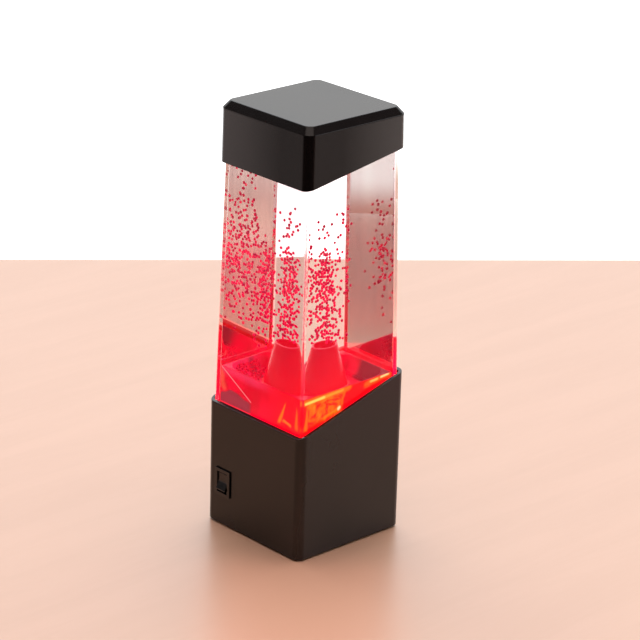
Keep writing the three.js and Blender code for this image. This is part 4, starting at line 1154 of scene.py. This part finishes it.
# --------------------------------------------------- the CAD nodes that stay on
KIND = {
    "rubber": ("tank_gasket", "fill_plug"),
    "steel": ("cover_screw", "motor_shaft", "bracket_screw", "motor_screw", "impeller_pin"),
    "nickel": ("contact_", "switch_terminal", "inlet_pin", "drive_magnet", "impeller_magnet"),
    "cell_jacket": ("battery_cell",),
    "white_plastic": ("motor_bracket", "drive_disc"),
    "board_green": ("led_board",),
    "clear_acrylic": ("tank_floor",),
}


def finish_nodes():
    for name, o in NODES.items():
        m = None
        for kind, starts in KIND.items():
            if name.startswith(starts):
                m = MAT[kind]
        if name == "motor":
            m = MAT["steel"]
        elif name == "impeller":
            m = MAT["white_plastic"]
        elif name.startswith("led_") and name[4:].isdigit():
            m = MAT["led_lens"]
        elif name in ("battery_lead_positive", "switch_lead", "inlet_lead_1", "motor_lead_1"):
            m = MAT["lead_red"]
        elif "lead" in name:
            m = MAT["lead_black"]
        if m is not None:
            for s in o.material_slots:
                s.material = m


finish_nodes()


# ------------------------------------------------------------- floor and light
BACK = Vector((0.678, 0.735, 0.0)).normalized()
RIGHT = Vector((0.735, -0.678, 0.0)).normalized()


def make_floor():
    """A pale wooden table top; its far and left edges roll down."""
    back, front, left, side, r = 0.409, -0.30, -0.43, 1.3, 0.014
    steps = 8
    low, corner = -0.03, []
    for k in range(steps + 1):
        a = math.radians(90 * k / steps)
        corner.append((r * (1 - math.sin(a)), -r * (1 - math.cos(a))))
    rings = []
    for inset, z in [(inset, z) for inset, z in corner[::-1]]:
        wide = 3.0 * inset
        rings.append([(back - inset, side - inset, z), (back - inset, left + wide, z), (front + inset, left + wide, z), (front + inset, side - inset, z)])
    rings.insert(0, [(back, side, low), (back, left, low), (front, left, low), (front, side, low)])
    # the far edge doesn't run quite across the view
    rings = [[(d + 0.075 * s if d > 0 else d, s, z) for d, s, z in ring] for ring in rings]
    v, f = [], []
    for ring in rings:
        for d, s, z in ring:
            q = BACK * d + RIGHT * s
            v.append((q.x, q.y, z))
    for k in range(len(rings) - 1):
        for i in range(4):
            j = (i + 1) % 4
            f.append((4 * k + i, 4 * k + j, 4 * k + 4 + j, 4 * k + 4 + i))
    f.append((0, 1, 2, 3))
    last = 4 * (len(rings) - 1)
    f.append((last + 3, last + 2, last + 1, last))
    me = bpy.data.meshes.new("floor")
    me.from_pydata(v, [], f)
    p = Paint("floor")
    along = p.add("Mapping", {"Vector": p.place, "Rotation": (0.0, 0.0, math.radians(-43.0)), "Scale": (1.0, 9.0, 1.0)}).outputs[0]
    grain = p.noise(5.0, 5.0, 0.62, along, 0.6)
    fine = p.noise(160, 3.0, 0.6, along)
    colour = p.mix(p.span(grain, 0.3, 0.7), (0.580, 0.342, 0.232), (0.606, 0.362, 0.250))
    # the top is darker to the left of the lamp and redder to its right, in narrow boards
    deep = p.add("VectorMath", {0: p.place, 1: tuple(BACK)}, operation="DOT_PRODUCT").outputs["Value"]
    across = p.add("VectorMath", {0: p.place, 1: tuple(RIGHT)}, operation="DOT_PRODUCT").outputs["Value"]
    beside = p.times(p.span(deep, 0.26, 0.16), p.span(deep, -0.26, -0.16))
    for way, lean, stops in (
        (-1.0, 0.065, (
            (0.20, (0.593, 0.352, 0.241)), (0.235, (0.600, 0.212, 0.138)), (0.27, (0.505, 0.170, 0.112)), (0.31, (0.450, 0.170, 0.112)),
            (0.36, (0.475, 0.190, 0.132)), (0.395, (0.550, 0.310, 0.230)), (0.42, (0.600, 0.385, 0.300)),
        )),
        (1.0, 0.127, (
            (0.20, (0.593, 0.352, 0.241)), (0.235, (0.780, 0.305, 0.235)), (0.265, (0.800, 0.262, 0.215)), (0.31, (0.800, 0.262, 0.215)),
            (0.335, (0.840, 0.330, 0.270)), (0.36, (0.880, 0.560, 0.460)), (0.39, (0.800, 0.530, 0.420)), (0.43, (0.640, 0.430, 0.360)),
            (0.475, (0.700, 0.560, 0.500)),
        )),
    ):
        out = p.math("MULTIPLY", across, way)
        line = p.add("CombineXYZ", {0: p.math("MULTIPLY_ADD", across, lean, deep), 1: p.math("MULTIPLY", across, 0.02)}).outputs[0]
        boards = p.span(p.noise(430.0, 2.0, 0.55, line), 0.3, 0.7, 0.87, 1.11)
        tinted = p.add("Mix", data_type="RGBA", blend_type="MULTIPLY")
        p.put(tinted.inputs["Factor"], 1.0)
        p.put(tinted.inputs["A"], p.ramp(out, *stops))
        p.put(tinted.inputs["B"], boards)
        colour = p.mix(p.times(beside, p.span(out, 0.196, 0.215)), colour, tinted.outputs["Result"])
    # a painted warm glow from the lamp on the table just in front of it
    front = p.times(p.span(p.math("ABSOLUTE", across), 0.026, 0.062, 0.85, 0.0), p.span(deep, -0.025, -0.062), p.span(deep, -0.26, -0.16))
    colour = p.mix(front, colour, (0.770, 0.425, 0.295))
    me.materials.append(
        p.finish(
            p.shader(
                Base_Color=colour, Roughness=p.span(fine, 0.2, 0.8, 0.36, 0.44), IOR=1.5,
                Coat_Weight=0.4, Coat_Roughness=0.28,
                Normal=p.bump(fine, 0.0002, 0.05),
            )
        )
    )
    o = bpy.data.objects.new("floor", me)
    bpy.context.scene.collection.objects.link(o)
    tidy(o, 40.0)
    flatten(o)


def make_world():
    """A white sweep behind the table, a broad soft light above it, a softer one overhead and a dim room at the sides."""
    world = bpy.data.worlds.new("studio")
    bpy.context.scene.world = world
    world.use_nodes = True
    p = Paint("", world.node_tree)
    way = p.add("TexCoord").outputs["Generated"]
    unit = p.add("VectorMath", {0: way}, operation="NORMALIZE").outputs[0]
    back = p.add("VectorMath", {0: unit, 1: tuple(BACK)}, operation="DOT_PRODUCT").outputs["Value"]
    side = p.add("VectorMath", {0: unit, 1: tuple(RIGHT)}, operation="DOT_PRODUCT").outputs["Value"]
    up = p.add("SeparateXYZ", {0: unit}).outputs[2]
    turned_by = p.math("MULTIPLY", p.math("ARCTAN2", side, back), 57.2958)
    height = p.math("MULTIPLY", p.math("ARCSINE", up), 57.2958)

    def zone(value, a, b, c, d):
        return p.times(p.span(value, a, b), p.span(value, d, c))

    colour = (0.05, 0.045, 0.045)
    colour = p.mix(zone(turned_by, -112, -96, 96, 112), colour, (0.16, 0.14, 0.14))
    # below the table's level: the sweep behind, and pale at the sides
    under = p.span(height, 2.0, -2.0)
    colour = p.mix(p.times(under, zone(turned_by, -112, -98, 98, 112)), colour, (0.76, 0.63, 0.60))
    colour = p.mix(p.times(under, zone(turned_by, -66, -52, 52, 66)), colour, (2.0, 2.0, 2.0))
    # above it
    low = p.times(p.span(height, -2.0, 2.0), p.span(height, 27.0, 19.0))
    colour = p.mix(p.times(low, zone(turned_by, 40, 60, 104, 120)), colour, (2.3, 2.35, 2.4))
    colour = p.mix(p.times(p.span(height, -2.0, 2.0), zone(turned_by, -62, -44, 44, 62), p.span(height, 60.0, 56.0)), colour, (1.40, 1.38, 1.36))
    box = p.times(zone(height, 18.5, 22.0, 55.0, 60.0), zone(turned_by, -64, -48, 50, 66))
    colour = p.mix(box, colour, (2.45, 2.58, 2.64))
    colour = p.mix(p.span(height, 51.0, 59.0), colour, (2.20, 1.88, 1.74))
    # what is seen past the lamp from other sides is a plain pale backdrop
    ray = p.add("LightPath").outputs
    through = p.math("GREATER_THAN", ray["Transmission Depth"], 0.5)
    plain = p.mix(zone(turned_by, -66, -52, 52, 66), (0.82, 0.74, 0.70), (2.0, 2.0, 2.0))
    # seen through the tank's side, the table's left edge fades softly into it
    past = p.times(through, zone(turned_by, -120, -100, -74, -60))
    plain = p.mix(past, plain, p.mix(p.span(height, -20.35, -21.15), (1.38, 1.66, 1.52), (0.74, 0.47, 0.36)))
    colour = p.mix(p.math("MAXIMUM", ray["Is Camera Ray"], through), colour, plain)
    bg = p.add("Background", {"Color": colour, "Strength": 1.0}).outputs[0]
    p.add("OutputWorld", {"Surface": bg})


make_floor()
make_world()

scene = bpy.context.scene
scene.view_settings.view_transform = "Standard"
scene.view_settings.look = "None"
scene.cycles.max_bounces = 48
scene.cycles.transmission_bounces = 24
scene.cycles.glossy_bounces = 40
scene.cycles.diffuse_bounces = 3
scene.cycles.transparent_max_bounces = 40
scene.cycles.volume_bounces = 0
